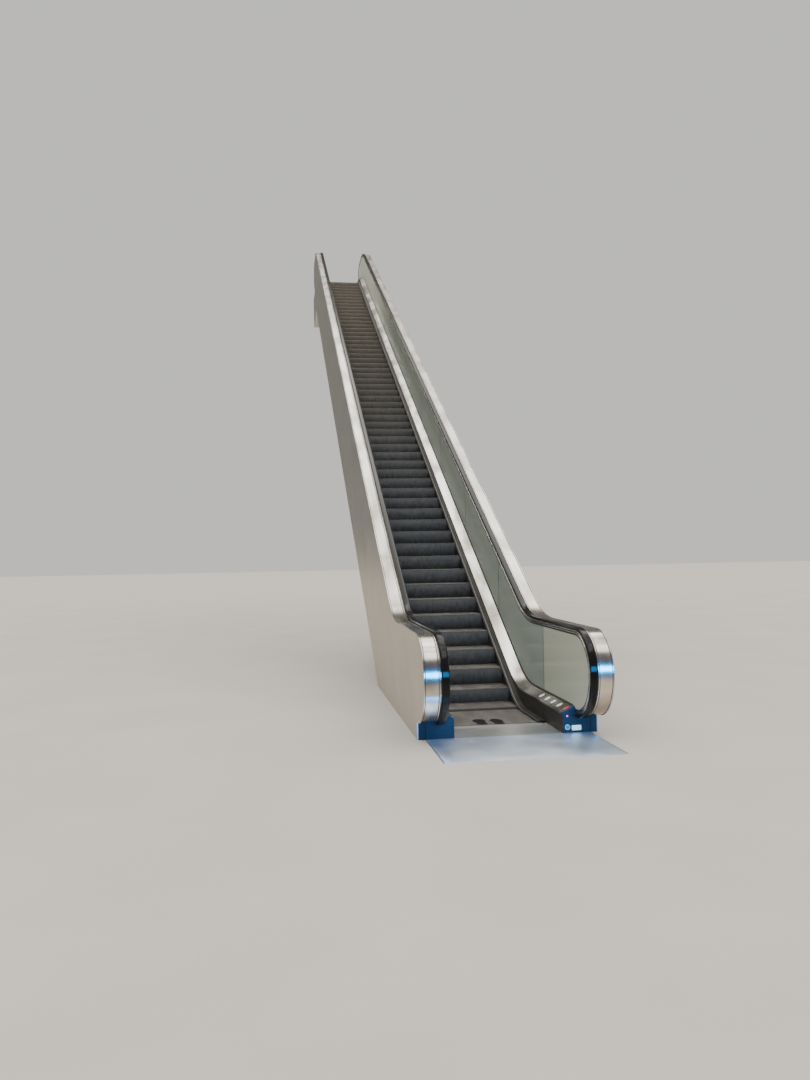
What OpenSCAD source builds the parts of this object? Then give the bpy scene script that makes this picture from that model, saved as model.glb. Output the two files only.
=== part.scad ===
// Public escalator for a tall rise, with solid glass balustrades and closed sides.
// Millimetres. X runs across the steps, Y up the incline, Z up.
// The origin lies on the underside of the lower landing frame, below the middle of the lower comb line.

/* [Travel] */
// Height from the lower finished floor to the upper one
rise = 11350; // [6000:50:14000]
// Angle of the incline
incline = 30; // [27.3:0.1:30]
// Distance from the comb line to the working point where floor level meets the incline
flat_run = 925; // [850:5:1200]
// Bend radius of the step band at the lower landing
lower_bend_r = 1000; // [1000:50:1500]
// Bend radius of the step band at the upper landing
upper_bend_r = 1500; // [1000:50:2700]

/* [Steps] */
// Width of a step
step_w = 1000; // [600:10:1100]
// Pitch of the step chain, which is also the depth of a tread
step_pitch = 405.5; // [400:0.1:410]
// Running gap between a tread and the riser behind it
step_gap = 4; // [3:0.5:6]
// Thickness of the tread plate
tread_t = 25.5; // [20:0.5:28]
// Thickness of the riser plate
riser_t = 22; // [12:1:30]
// How far the riser reaches below the tread
riser_h = 225; // [210:1:235]
// Distance of the first nose before the lower comb line
first_nose = 323; // [60:0.5:400]
// Depth of the treads below the finished floor
tread_drop = 10; // [8:1:12]
// Spacing of the cleats, before it is fitted to the width
cleat_spacing = 9; // [8:0.5:12]
// Width of a cleat
cleat_w = 4.6; // [3:0.1:5]
// Depth of the grooves between the cleats
cleat_h = 10; // [9:0.5:12]
// Radius of the step rollers
roller_r = 38; // [30:1:45]
// Roller axle behind the nose
roller_back = 120; // [110:1:140]
// Roller axle below the tread
roller_down = 200; // [195:1:220]

/* [Landings] */
// Width of the floor plate
floor_plate_w = 1716; // [1400:2:1800]
// Length of the floor plate in front of the base boxes
floor_plate_len = 1000; // [800:10:1600]
// Length of the comb plate between the base boxes
comb_plate_len = 560; // [520:5:700]
// Thickness of the floor and comb plates
plate_t = 8; // [6:1:9]
// Height of the lower landing frame with its plates
landing_h = 40; // [40:1:60]
// Thickness of the pan that carries the lowest steps
pan_t = 4; // [3:0.5:6]
// Number of comb segments across each comb plate
comb_segments = 5; // [2:1:10]
// Length of a comb segment behind the comb line
comb_len = 110; // [80:5:160]
// How far the comb teeth reach over the treads
tooth_reach = 42; // [30:1:50]
// Width of a comb tooth
tooth_w = 2.8; // [2:0.1:3.5]
// How deep the comb teeth dip into the grooves
tooth_dip = 5; // [4:0.5:7]

/* [Balustrade] */
// Gap between a step and the skirt on each side
skirt_gap = 4; // [2:0.5:4]
// Thickness of the skirt and kick panels
skirt_t = 6; // [4:0.5:8]
// Height of the skirt above the nose line
skirt_top = 30; // [25:1:32]
// Depth of the skirt below the nose line
skirt_below = 330; // [320:5:380]
// Width of the ledge between the skirt and the kick panel
ledge_w = 58; // [50:1:70]
// Width of the inner deck from the kick panel to the glass
deck_w = 138; // [120:1:150]
// Thickness of the glass
glass_t = 10; // [8:1:12]
// Height of the inner deck edge above the finished floor
deck_edge_h = 200; // [190:1:220]
// Rise of the inner deck from its edge to the glass
deck_slope_h = 65; // [60:1:75]
// How much lower the balustrade lies over the nose line than over the floor
balustrade_lift = 150; // [140:1:180]
// Height of the handrail above the finished floor
handrail_h = 1082.5; // [1000:0.5:1100]
// Bend radius of the handrail at the lower landing
rail_lower_r = 1300; // [1000:50:2000]
// Bend radius of the handrail at the upper landing
rail_upper_r = 1500; // [1000:50:2500]
// Lowest point of the handrail above the finished floor, below the newel
handrail_low = 157.5; // [150:0.5:165]
// Newel axis in front of the comb line
newel_front = 600; // [600:5:640]
// Length of the end glass panel behind the comb line
end_glass = 490; // [400:10:600]
// Length of a glass panel along the floor
glass_len = 2000; // [1600:10:2400]
// Joint between two panels
joint_gap = 4; // [3:0.5:6]

/* [Handrail] */
// Distance from the inner face of the glass to the middle of the handrail
rail_out = 30; // [25:1:35]
// Width of the handrail
handrail_w = 80; // [76:1:82]
// Thickness of the handrail
handrail_t = 38; // [34:1:40]
// Height of the guide below the handrail
guide_h = 47; // [40:1:55]

/* [Casing] */
// Distance from the middle of the handrail to the outer face of the casing
casing_out = 210; // [180:1:230]
// Thickness of the casing panels
casing_t = 12; // [10:1:16]
// Depth of the truss below the nose line
truss_d = 1000; // [900:10:1200]
// Thickness of the outer deck sheet
strip_t = 3; // [2:0.5:4]
// Step down from the handrail top to the outer deck
strip_drop = 25; // [20:1:28]
// Depth of a base cover
cover_d = 60; // [50:1:90]
// Length of the bearing flange at the upper floor
bearing_len = 120; // [100:5:180]
// Thickness of the bearing angle
bearing_t = 20; // [15:1:30]
// Bearing face below the upper finished floor
bearing_drop = 200; // [150:5:300]

/* [Hidden] */

seat = 0.3;
far = 60000;
half_bend = tan(incline / 2);
half_turn = 180;
floor_z = landing_h;
top_floor_z = floor_z + rise;
travel_y = rise / tan(incline);
upper_comb_y = 2 * flat_run + travel_y;
lower_end_y = -comb_plate_len - floor_plate_len;
upper_end_y = upper_comb_y + comb_plate_len + floor_plate_len;
skirt_x = step_w / 2 + skirt_gap;
kick_x = skirt_x + ledge_w;
glass_x = kick_x + deck_w;
handrail_x = glass_x + rail_out;
casing_x = handrail_x + casing_out;
casing_in = casing_x - casing_t;
newel_r = (handrail_h - handrail_low) / 2;
newel_z = handrail_h - newel_r;
upper_newel_y = upper_comb_y + newel_front;

// A path is [lower corner y, its height, upper corner y, its height, lower radius, upper radius].
nose_path = [flat_run, floor_z - tread_drop, flat_run + travel_y, top_floor_z - tread_drop,
    lower_bend_r, upper_bend_r];
lift_y = balustrade_lift / tan(incline);
rail_path = [flat_run + lift_y, floor_z + handrail_h, flat_run + travel_y + lift_y,
    top_floor_z + handrail_h, rail_lower_r, rail_upper_r];
deck_path = [flat_run + lift_y, floor_z + deck_edge_h, flat_run + travel_y + lift_y,
    top_floor_z + deck_edge_h, rail_lower_r, rail_upper_r];
roller_path = [nose_path[0] + roller_back, nose_path[1] - roller_down, nose_path[2] + roller_back,
    nose_path[3] - roller_down, lower_bend_r, upper_bend_r];

lower_split = end_glass + glass_len;
upper_split = upper_comb_y - lower_split;
mid_panels = round((upper_split - lower_split) / glass_len);
mid_len = (upper_split - lower_split) / mid_panels;

// The same path moved down by d, square to itself.
function lowered(p, d) = [p[0] + d * half_bend, p[1] - d, p[2] + d * half_bend, p[3] - d, p[4] + d, p[5] - d];

// Points of a path from y = a to y = b, with its bends in even steps.
bend_steps = 12;
function bend_points(p) = concat(
    [for (i = [0:bend_steps]) let (t = incline * i / bend_steps)
        [p[0] - p[4] * half_bend + p[4] * sin(t), p[1] + p[4] * (1 - cos(t))]],
    [for (i = [0:bend_steps]) let (t = incline * (1 - i / bend_steps))
        [p[2] + p[5] * half_bend - p[5] * sin(t), p[3] - p[5] * (1 - cos(t))]]);
function path_points(p) = concat([[-far, p[1]]], bend_points(p), [[far, p[3]]]);
function height_on(pts, y, i = 0) = y <= pts[i + 1][0] || i + 2 == len(pts)
    ? pts[i][1] + (pts[i + 1][1] - pts[i][1]) * (y - pts[i][0]) / (pts[i + 1][0] - pts[i][0])
    : height_on(pts, y, i + 1);
function cut_path(p, a, b) = let (pts = path_points(p)) concat(
    [[a, height_on(pts, a)]],
    [for (q = pts) if (q[0] > a && q[0] < b) q],
    [[b, height_on(pts, b)]]);
function reversed(list) = [for (i = [len(list) - 1:-1:0]) list[i]];

// A band between two paths, from y = a to y = b, in the Y-Z plane.
module band(top, bottom, a, b) {
    polygon(concat(cut_path(top, a, b), reversed(cut_path(bottom, a, b))));
}

// A shape drawn in the Y-Z plane, given its thickness from x to x + t.
module across(x, t) {
    translate([x, 0, 0]) rotate([90, 0, 90]) linear_extrude(t) children();
}

module both_sides() {
    children();
    mirror([1, 0, 0]) children();
}

// A section drawn as [height above the path, x], run straight up the incline or along a landing.
module straight(length) {
    rotate([-90, -90, 0]) linear_extrude(length) children();
}

// The same section turned about an axis across the escalator: 0 points down, 90 up the incline and 180 up.
module turn(r, from, angle) {
    rotate([0, 90, 0]) rotate([0, 0, from])
        rotate_extrude(angle = angle, $fn = 180) translate([r, 0]) children();
}

// The straight stretch of a member between y = a and y = b.
module incline_member(p, a, b) {
    translate([0, a, p[1] + (a - p[0]) * tan(incline)]) rotate([incline, 0, 0])
        straight((b - a) / cos(incline)) children();
}

// Where a path leaves its lower bend, and where it enters its upper bend.
function lower_bend_end(p) = p[0] - p[4] * half_bend + p[4] * sin(incline);
function upper_bend_start(p) = p[2] + p[5] * half_bend - p[5] * sin(incline);

// A member's lower end: along the landing from y = start_y and up the bend.
// With a tail it first comes back round the newel, and the tail runs on below it.
module lower_member(p, start_y, tail = 0) {
    bend_y = p[0] - p[4] * half_bend;
    translate([0, bend_y, p[1] + p[4]]) {
        turn(p[4], 0, incline) mirror([1, 0]) children();
        translate([0, start_y - bend_y, -p[4]]) {
            straight(bend_y - start_y) children();
            if (tail > 0) translate([0, 0, -newel_r]) {
                turn(newel_r, 180, 180) children();
                translate([0, 0, -newel_r]) mirror([0, 0, 1]) straight(tail) children();
            }
        }
    }
}

// A member's upper end: over the bend and along the landing to y = end_y, then round the newel.
module upper_member(p, end_y, tail = 0) {
    bend_y = p[2] + p[5] * half_bend;
    translate([0, bend_y, p[3] - p[5]]) {
        turn(p[5], 180, incline) children();
        translate([0, 0, p[5]]) straight(end_y - bend_y) children();
        if (tail > 0) translate([0, end_y - bend_y, p[5] - newel_r]) {
            turn(newel_r, 0, 180) children();
            translate([0, -tail, -newel_r]) mirror([0, 0, 1]) straight(tail) children();
        }
    }
}

// A member between its bends, in one length.
module incline_whole(p) {
    incline_member(p, lower_bend_end(p) + seat, upper_bend_start(p) - seat) children();
}

// A member between its bends, in lengths that meet at the glass joints.
module incline_lengths(p, gap) {
    joints = concat([lower_bend_end(p) + seat], [for (i = [0:mid_panels]) lower_split + i * mid_len],
        [upper_bend_start(p) - seat + gap]);
    for (i = [1:len(joints) - 1]) incline_member(p, joints[i - 1], joints[i] - gap) children();
}

// Nose positions: each nose lies one chain pitch from the last, measured straight.
bend_a = lower_bend_r * incline * PI / 180;
bend_b = upper_bend_r * incline * PI / 180;
bend_start_y = nose_path[0] - lower_bend_r * half_bend;
slope_len = travel_y / cos(incline) - (lower_bend_r + upper_bend_r) * half_bend;
function nose_at(s) =
    s < 0 ? [bend_start_y + s, nose_path[1]]
    : s < bend_a ? let (t = s / lower_bend_r * 180 / PI)
        [bend_start_y + lower_bend_r * sin(t), nose_path[1] + lower_bend_r * (1 - cos(t))]
    : s < bend_a + slope_len ? let (d = s - bend_a)
        [bend_start_y + lower_bend_r * sin(incline) + d * cos(incline),
         nose_path[1] + lower_bend_r * (1 - cos(incline)) + d * sin(incline)]
    : s < bend_a + slope_len + bend_b ?
        let (t = incline - (s - bend_a - slope_len) / upper_bend_r * 180 / PI)
        [nose_path[2] + upper_bend_r * (half_bend - sin(t)), nose_path[3] - upper_bend_r * (1 - cos(t))]
    : [nose_path[2] + upper_bend_r * half_bend + s - bend_a - slope_len - bend_b, nose_path[3]];
function next_s(s, low, high, n = 24) = n == 0 ? (low + high) / 2
    : let (mid = (low + high) / 2)
      norm(nose_at(mid) - nose_at(s)) < step_pitch ? next_s(s, mid, high, n - 1) : next_s(s, low, mid, n - 1);
last_nose_gap = 30;
last_nose_y = upper_comb_y - last_nose_gap;
noses = [for (s = -first_nose - bend_start_y; nose_at(s)[0] < last_nose_y;
    s = next_s(s, s + step_pitch * 0.95, s + step_pitch * 1.1)) nose_at(s)];
end_steps = 5;
incline_steps = len(noses) - 2 * end_steps;
third = ceil(incline_steps / 3);

// The riser curves about the rear edge of its tread, so that it follows the tread in front through the bends.
riser_steps = 8;
riser_angle = asin(riser_h / step_pitch);
function riser_arc(r, from, to) = [for (i = [0:riser_steps]) let (t = from + (to - from) * i / riser_steps)
    [step_pitch - r * cos(t), -r * sin(t)]];

module step_plate_profile(top) {
    inner_r = step_pitch - riser_t;
    back = step_pitch - step_gap;
    polygon(concat([[back, -tread_t], [back, -top]], riser_arc(step_pitch, asin(top / step_pitch), riser_angle),
        riser_arc(inner_r, riser_angle, asin(tread_t / inner_r))));
}

// A cleated tread board. Its cleats start and end at the skirts, and the comb teeth run in its grooves.
board_base = 6;
board_t = cleat_h + board_base;
teeth = round((step_w - cleat_w) / cleat_spacing / comb_segments);
cleats = teeth * comb_segments + 1;
cleat_pitch = (step_w - cleat_w) / (cleats - 1);
module tread_board() {
    edge = step_w / 2;
    groove = [[cleat_w, 0], [cleat_w, -cleat_h], [cleat_pitch, -cleat_h], [cleat_pitch, 0]];
    grooves = [for (i = [0:cleats - 2], q = groove) [i * cleat_pitch - edge + q[0], q[1]]];
    translate([0, step_pitch - step_gap, 0]) rotate([90, 0, 0]) linear_extrude(step_pitch - step_gap)
        polygon(concat([[edge, 0], [edge, -board_t], [-edge, -board_t], [-edge, 0]], grooves));
}

// The bracket and roller below each side of a step.
bracket_in = 45;
bracket_x = step_w / 2 - bracket_in;
bracket_t = 12;
bracket_edge = 16;
boss_r = 22;
roller_w = 24;
module step_carrier() {
    back = step_pitch - bracket_t;
    across(bracket_x, bracket_t) union() {
        polygon([[riser_t, -tread_t], [back, -tread_t], [back, -tread_t - bracket_edge],
            [roller_back + boss_r, -roller_down], [roller_back - boss_r, -roller_down]]);
        translate([roller_back, -roller_down]) circle(boss_r, $fn = 32);
    }
    translate([bracket_x, roller_back, -roller_down]) rotate([0, 90, 0])
        cylinder(h = roller_w + bracket_t, r = roller_r, $fn = 48);
}

module step_body(with_rollers, top) {
    across(-step_w / 2, step_w) step_plate_profile(top);
    if (with_rollers) both_sides() step_carrier();
}

// The steps beside the combs have cleated boards. The rest keep a plain tread, which is lighter.
module step(i) {
    q = noses[i];
    cleated = i < end_steps || i >= len(noses) - end_steps;
    top = cleated ? board_t + seat : 0;
    on_rollers = q[1] - roller_down - roller_r > pan_t + seat;
    if (cleated) translate([0, q[0], q[1]]) tread_board();
    if (q[1] - riser_h > pan_t + seat) translate([0, q[0], q[1]]) step_body(on_rollers, top);
    else intersection() {
        translate([0, q[0], q[1]]) step_body(on_rollers, top);
        translate([-step_w, q[0] - step_pitch, pan_t + seat]) cube([2 * step_w, 3 * step_pitch, step_pitch]);
    }
}

module steps(from, to) {
    color("dimgray") for (i = [from:to]) step(i);
}
module steps_lower() { steps(0, end_steps - 1); }
module steps_incline_1() { steps(end_steps, end_steps + third - 1); }
module steps_incline_2() { steps(end_steps + third, end_steps + 2 * third - 1); }
module steps_incline_3() { steps(end_steps + 2 * third, len(noses) - end_steps - 1); }
module steps_upper() { steps(len(noses) - end_steps, len(noses) - 1); }

// Rails under the rollers, fixed to the inner faces of the skirts.
track_t = 10;
track_x = bracket_x - 5;
module tracks(a, b) {
    top = lowered(roller_path, roller_r + seat);
    color("gray") both_sides() across(track_x, skirt_x - track_x) intersection() {
        band(top, lowered(top, track_t), a, b);
        translate([a, pan_t]) square([b - a, far]);
    }
}
module tracks_incline() { tracks(flat_run, upper_split); }
module tracks_upper() { tracks(upper_split, upper_comb_y); }

frame_w = 60;
bar_gap = 10;
pan_end_y = flat_run + ((truss_d - casing_t) / cos(incline) - floor_z + tread_drop) / tan(incline);
module landing_frame_lower() {
    bar_h = floor_z - plate_t;
    half = floor_plate_w / 2;
    bay = (floor_plate_len - frame_w) / 3;
    color("slategray") {
        difference() {
            translate([-half, lower_end_y, 0]) cube([2 * half, floor_plate_len, bar_h]);
            for (i = [0:2]) translate([-half + frame_w, lower_end_y + frame_w + i * bay, -1])
                cube([2 * (half - frame_w), bay - frame_w, bar_h + 2]);
        }
        translate([-casing_in, -comb_plate_len, 0]) cube([2 * casing_in, comb_plate_len + pan_end_y, pan_t]);
        for (y = [-comb_plate_len, -first_nose - bar_gap - frame_w]) translate([-kick_x, y, 0])
            cube([2 * kick_x, frame_w, bar_h]);
    }
}

// A landing as seen from its comb line, with Y away from the steps and Z up from the finished floor.
module at_lower_comb() {
    translate([0, 0, floor_z]) rotate([0, 0, half_turn]) children();
}
module at_upper_comb() {
    translate([0, upper_comb_y, top_floor_z]) children();
}

edging_w = 12;
edging_gap = 1;
module floor_plate() {
    half = floor_plate_w / 2;
    inner = half - edging_w;
    far_edge = comb_plate_len + floor_plate_len;
    color("lightsteelblue") translate([0, 0, -plate_t]) linear_extrude(plate_t) {
        translate([-inner + edging_gap, comb_plate_len])
            square([2 * (inner - edging_gap), floor_plate_len - edging_w - edging_gap]);
        difference() {
            translate([-half, comb_plate_len]) square([2 * half, floor_plate_len]);
            translate([-inner, 0]) square([2 * inner, far_edge - edging_w]);
        }
    }
}
module floor_plate_lower() { at_lower_comb() floor_plate(); }
module floor_plate_upper() { at_upper_comb() floor_plate(); }

// A comb segment: a wedge let into the comb plate, with a tooth over each groove of the treads.
comb_seat = 3;
comb_gap = 0.6;
comb_edge = 12;
tooth_root = 8;
tooth_tip_t = 2;
module comb_segment(i) {
    segment_w = teeth * cleat_pitch;
    left = (i - comb_segments / 2) * segment_w + comb_gap / 2;
    tip = -tread_drop - tooth_dip;
    intersection() {
        translate([0, 0, tip]) linear_extrude(-tip) union() {
            translate([left, tooth_root]) square([segment_w - comb_gap, comb_len - tooth_root]);
            for (k = [0:teeth - 1]) translate([left + (k + 0.5) * cleat_pitch - (tooth_w + comb_gap) / 2, -tooth_reach])
                square([tooth_w, tooth_reach + tooth_root + 1]);
        }
        across(left, segment_w) polygon([[comb_len, 0], [comb_edge, 0], [-tooth_reach, tip + tooth_tip_t],
            [-tooth_reach, tip], [0, tip], [comb_edge, comb_seat - plate_t + seat],
            [comb_len, comb_seat - plate_t + seat]]);
    }
}
module comb_plate() {
    recess = comb_segments * teeth * cleat_pitch / 2 + comb_gap / 2;
    color("silver") {
        difference() {
            translate([-kick_x, 0, -plate_t]) cube([2 * kick_x, comb_plate_len, plate_t]);
            translate([-recess, -1, comb_seat - plate_t]) cube([2 * recess, comb_len + comb_gap + 1, plate_t]);
            translate([-recess, -1, -plate_t - 1]) cube([2 * recess, comb_edge + 1, plate_t]);
        }
        for (i = [0:comb_segments - 1]) comb_segment(i);
    }
}
module comb_plate_lower() { at_lower_comb() comb_plate(); }
module comb_plate_upper() { at_upper_comb() comb_plate(); }

upper_frame_h = 150;
upper_frame_y = upper_comb_y + step_pitch;
module landing_frame_upper() {
    length = upper_end_y - casing_t - upper_frame_y;
    bay = (length - frame_w) / 3;
    z = top_floor_z - plate_t - upper_frame_h;
    color("slategray") {
        difference() {
            translate([-casing_in, upper_frame_y, z]) cube([2 * casing_in, length, upper_frame_h]);
            for (i = [0:2]) translate([-casing_in + frame_w, upper_frame_y + frame_w + i * bay, z - 1])
                cube([2 * (casing_in - frame_w), bay - frame_w, upper_frame_h + 2]);
        }
        both_sides() translate([floor_plate_w / 2, upper_comb_y + comb_plate_len, z + upper_frame_h])
            cube([casing_in - floor_plate_w / 2, floor_plate_len, plate_t]);
    }
}

// The skirt beside the steps, its ledge, and the kick panel above the ledge, folded from one sheet.
deck_lip = 12;
module skirts(a, b) {
    ledge_top = lowered(nose_path, -skirt_top);
    ledge_bottom = lowered(ledge_top, skirt_t);
    steps_a = max(a, 0);
    steps_b = min(b, upper_comb_y);
    color("#202020") both_sides() {
        across(skirt_x, skirt_t) intersection() {
            band(ledge_top, lowered(nose_path, skirt_below), steps_a, steps_b);
            translate([a, pan_t]) square([b - a, far]);
        }
        across(skirt_x, kick_x + skirt_t - skirt_x) band(ledge_top, ledge_bottom, steps_a, steps_b);
        across(kick_x, skirt_t) union() {
            band(lowered(deck_path, deck_lip), ledge_bottom, steps_a, steps_b);
            if (a < 0) translate([a, pan_t]) square([-a, floor_z + deck_edge_h - deck_lip - pan_t]);
            if (b > upper_comb_y) translate([upper_comb_y, top_floor_z - plate_t])
                square([b - upper_comb_y, plate_t + deck_edge_h - deck_lip]);
        }
    }
}
module skirts_lower() { skirts(-comb_plate_len, lower_split); }
module skirts_incline() { skirts(lower_split, upper_split); }
module skirts_upper() { skirts(upper_split, upper_comb_y + comb_plate_len); }

// Section of the brush strip: a rounded holder on the skirt and the bristles in its mouth.
brush_w = 24;
brush_low = 10;
brush_t = 14;
brush_end = 40;
holder_w = 8;
bristle_t = 8;
module brush_section() {
    mid = brush_low + brush_t / 2;
    translate([mid, skirt_x - holder_w + brush_t / 2]) intersection() {
        circle(brush_t / 2, $fn = 32);
        translate([-brush_t, -brush_t]) square([2 * brush_t, brush_t + holder_w - brush_t / 2]);
    }
    polygon([[mid - bristle_t / 2, skirt_x - holder_w + 1], [mid + bristle_t / 2, skirt_x - holder_w + 1],
        [mid + bristle_t / 4, skirt_x - brush_w], [mid - bristle_t / 4, skirt_x - brush_w]]);
}
module skirt_brushes() {
    color("black") both_sides() {
        lower_member(nose_path, brush_end) brush_section();
        incline_whole(nose_path) brush_section();
        upper_member(nose_path, upper_comb_y - brush_end) brush_section();
    }
}

// Section of the inner deck: a lip down to the kick panel and a slope up to the glass.
deck_t = 4;
module deck_section() {
    polygon([[0, kick_x], [deck_slope_h, glass_x], [deck_slope_h - deck_t, glass_x],
        [-deck_t, kick_x + deck_t], [-deck_lip, kick_x + deck_t], [-deck_lip, kick_x]]);
}
module inner_decks_lower() {
    color("gainsboro") both_sides() lower_member(deck_path, -comb_plate_len + cover_d) deck_section();
}
module inner_decks_incline() {
    color("gainsboro") both_sides() incline_lengths(deck_path, joint_gap) deck_section();
}
module inner_decks_upper() {
    color("gainsboro") both_sides()
        upper_member(deck_path, upper_comb_y + comb_plate_len - cover_d) deck_section();
}

glass_sunk = 15;
glass_foot = deck_slope_h - glass_sunk;
glass_low = deck_edge_h + glass_foot;
glass_top = lowered(rail_path, handrail_t + guide_h + seat);
glass_bottom = lowered(deck_path, -glass_foot);
glass_r = newel_r - handrail_t - guide_h - seat;
newel_steps = 36;
function newel_points(y, z, r, side) = [for (i = [0:newel_steps]) let (t = half_turn * i / newel_steps)
    [y + side * r * sin(t), z + r * cos(t)]];
module lower_end_outline(top, r, bottom, b) {
    z = floor_z + newel_z;
    polygon(concat(newel_points(-newel_front, z, r, -1),
        [[-comb_plate_len, z - r], [-comb_plate_len, bottom], [b, bottom]],
        reversed(cut_path(top, -newel_front, b))));
}
module upper_end_outline(top, r, bottom, a) {
    z = top_floor_z + newel_z;
    end = upper_comb_y + comb_plate_len;
    polygon(concat(newel_points(upper_newel_y, z, r, 1),
        [[end, z - r], [end, bottom], [a, bottom]],
        cut_path(top, a, upper_newel_y)));
}
module pane(a, b) {
    across(glass_x, glass_t) band(glass_top, glass_bottom, a, b - joint_gap);
}
module glass_lower() {
    color("#9aa294") both_sides() {
        across(glass_x, glass_t)
            lower_end_outline(glass_top, glass_r, floor_z + glass_low, end_glass - joint_gap);
        pane(end_glass, lower_split);
    }
}
module glass_incline() {
    color("#9aa294") both_sides() for (i = [0:mid_panels - 1])
        pane(lower_split + i * mid_len, lower_split + (i + 1) * mid_len);
}
module glass_upper() {
    color("#9aa294") both_sides() {
        pane(upper_split, upper_comb_y - end_glass);
        across(glass_x, glass_t)
            upper_end_outline(glass_top, glass_r, top_floor_z + glass_low, upper_comb_y - end_glass);
    }
}

// Section of the handrail: a rounded C of rubber that wraps the head of its guide.
rubber_side = 15;
rubber_top = 16;
rubber_lip = 8;
lip_in = 7;
slot_w = handrail_w - 2 * rubber_side;
slot_bottom = handrail_t - rubber_lip;
mouth_w = slot_w - 2 * lip_in;
round_steps = 8;
module handrail_section() {
    r = handrail_t / 2;
    outside = [for (i = [0:round_steps]) let (t = half_turn * i / round_steps)
        [-r - r * cos(t), handrail_w / 2 - r + r * sin(t)]];
    half = concat([[-handrail_t, mouth_w / 2]], outside);
    inside = [[-rubber_top, slot_w / 2], [-slot_bottom, slot_w / 2], [-slot_bottom, mouth_w / 2]];
    other = [for (q = reversed(half)) [q[0], -q[1]]];
    other_inside = [for (q = reversed(inside)) [q[0], -q[1]]];
    translate([0, handrail_x]) polygon(concat(half, other, other_inside, inside));
}
tail_past_cover = 20;
handrail_tail = newel_front - comb_plate_len + cover_d + tail_past_cover;
module handrails_lower() {
    color("black") both_sides() lower_member(rail_path, -newel_front, handrail_tail) handrail_section();
}
module handrails_incline() {
    color("black") both_sides() incline_whole(rail_path) handrail_section();
}
module handrails_upper() {
    color("black") both_sides() upper_member(rail_path, upper_newel_y, handrail_tail) handrail_section();
}

// Section of the guide: a head inside the handrail, a neck, and a body on the glass with a groove for its seal.
guide_in = 3;
guide_groove_w = 9;
guide_groove_d = 6;
guide_groove_low = 25;
guide_side = 5;
guide_out = handrail_x + handrail_w / 2 - guide_side;
slide_gap = 1;
head_gap = 5;
module guide_section() {
    body_top = -handrail_t - seat;
    head_w = slot_w - 2 * slide_gap;
    neck_w = mouth_w - 2 * slide_gap;
    head_t = slot_bottom - rubber_top - head_gap;
    low = -handrail_t - guide_h;
    translate([-slot_bottom + seat, handrail_x - head_w / 2]) square([head_t, head_w]);
    translate([body_top, handrail_x - neck_w / 2]) square([-slot_bottom + seat - body_top, neck_w]);
    difference() {
        translate([low, glass_x - guide_in]) square([guide_h - seat, guide_out - glass_x + guide_in]);
        translate([low + guide_groove_low, glass_x - guide_in - 1]) square([guide_groove_w, guide_groove_d + 1]);
    }
}
guide_tail_gap = 15;
guide_tail = newel_front - comb_plate_len - guide_tail_gap;
module handrail_guides_lower() {
    color("silver") both_sides() lower_member(rail_path, -newel_front, guide_tail) guide_section();
}
module handrail_guides_incline() {
    color("silver") both_sides() incline_whole(rail_path) guide_section();
}
module handrail_guides_upper() {
    color("silver") both_sides() upper_member(rail_path, upper_newel_y, guide_tail) guide_section();
}

// Section of the outer deck: a flat sheet with raised edges and a return down to the guide.
strip_gap = 6;
strip_x = handrail_x + handrail_w / 2 + strip_gap;
bead_w = 8;
bead_h = 5;
module strip_section() {
    low = -handrail_t - guide_h;
    translate([-strip_drop - strip_t, strip_x]) square([strip_t, casing_x - strip_x]);
    for (x = [strip_x, casing_x - bead_w]) {
        translate([-strip_drop - strip_t, x]) square([strip_t + bead_h - bead_w / 2, bead_w]);
        translate([-strip_drop + bead_h - bead_w / 2, x + bead_w / 2]) circle(bead_w / 2, $fn = 32);
    }
    translate([low, strip_x]) square([-low - strip_drop, strip_t]);
    translate([low, guide_out]) square([strip_t, strip_x + strip_t - guide_out]);
}
strip_tail = newel_front - comb_plate_len;
module outer_decks_lower() {
    color("gainsboro") both_sides() lower_member(rail_path, -newel_front, strip_tail) strip_section();
}
module outer_decks_incline() {
    color("gainsboro") both_sides() incline_lengths(rail_path, joint_gap) strip_section();
}
module outer_decks_upper() {
    color("gainsboro") both_sides() upper_member(rail_path, upper_newel_y, strip_tail) strip_section();
}

// Front covers of the balustrade bases in two parts, with the hole that takes the handrail in.
cover_seam = 0.6;
inlet_gap = 8;
inlet_w = handrail_w + 2 * inlet_gap;
inlet_h = handrail_t + 2 * inlet_gap;
inlet_z = handrail_low + handrail_t / 2;
module inlet_outline(w, h) {
    square([w - h, h], center = true);
    for (s = [-1, 1]) translate([s * (w - h) / 2, 0]) circle(h / 2, $fn = 32);
}
module base_covers(z, below) {
    slope = deck_slope_h / (glass_x - kick_x);
    inner = kick_x + skirt_t;
    color("#23466f") both_sides() rotate([90, 0, 0]) linear_extrude(cover_d) difference() {
        polygon([[inner, z - below], [casing_in, z - below], [casing_in, z + glass_low],
            [glass_x, z + glass_low], [glass_x, z + deck_edge_h + deck_slope_h],
            [inner, z + deck_edge_h + slope * skirt_t]]);
        translate([handrail_x, z + inlet_z]) inlet_outline(inlet_w, inlet_h);
        translate([floor_plate_w / 2, z - below - 1]) square([cover_seam, far]);
    }
}
module base_covers_lower() {
    translate([0, -comb_plate_len + cover_d, 0]) base_covers(floor_z, floor_z - pan_t);
}
module base_covers_upper() {
    translate([0, upper_comb_y + comb_plate_len, 0]) base_covers(top_floor_z, plate_t);
}

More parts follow.
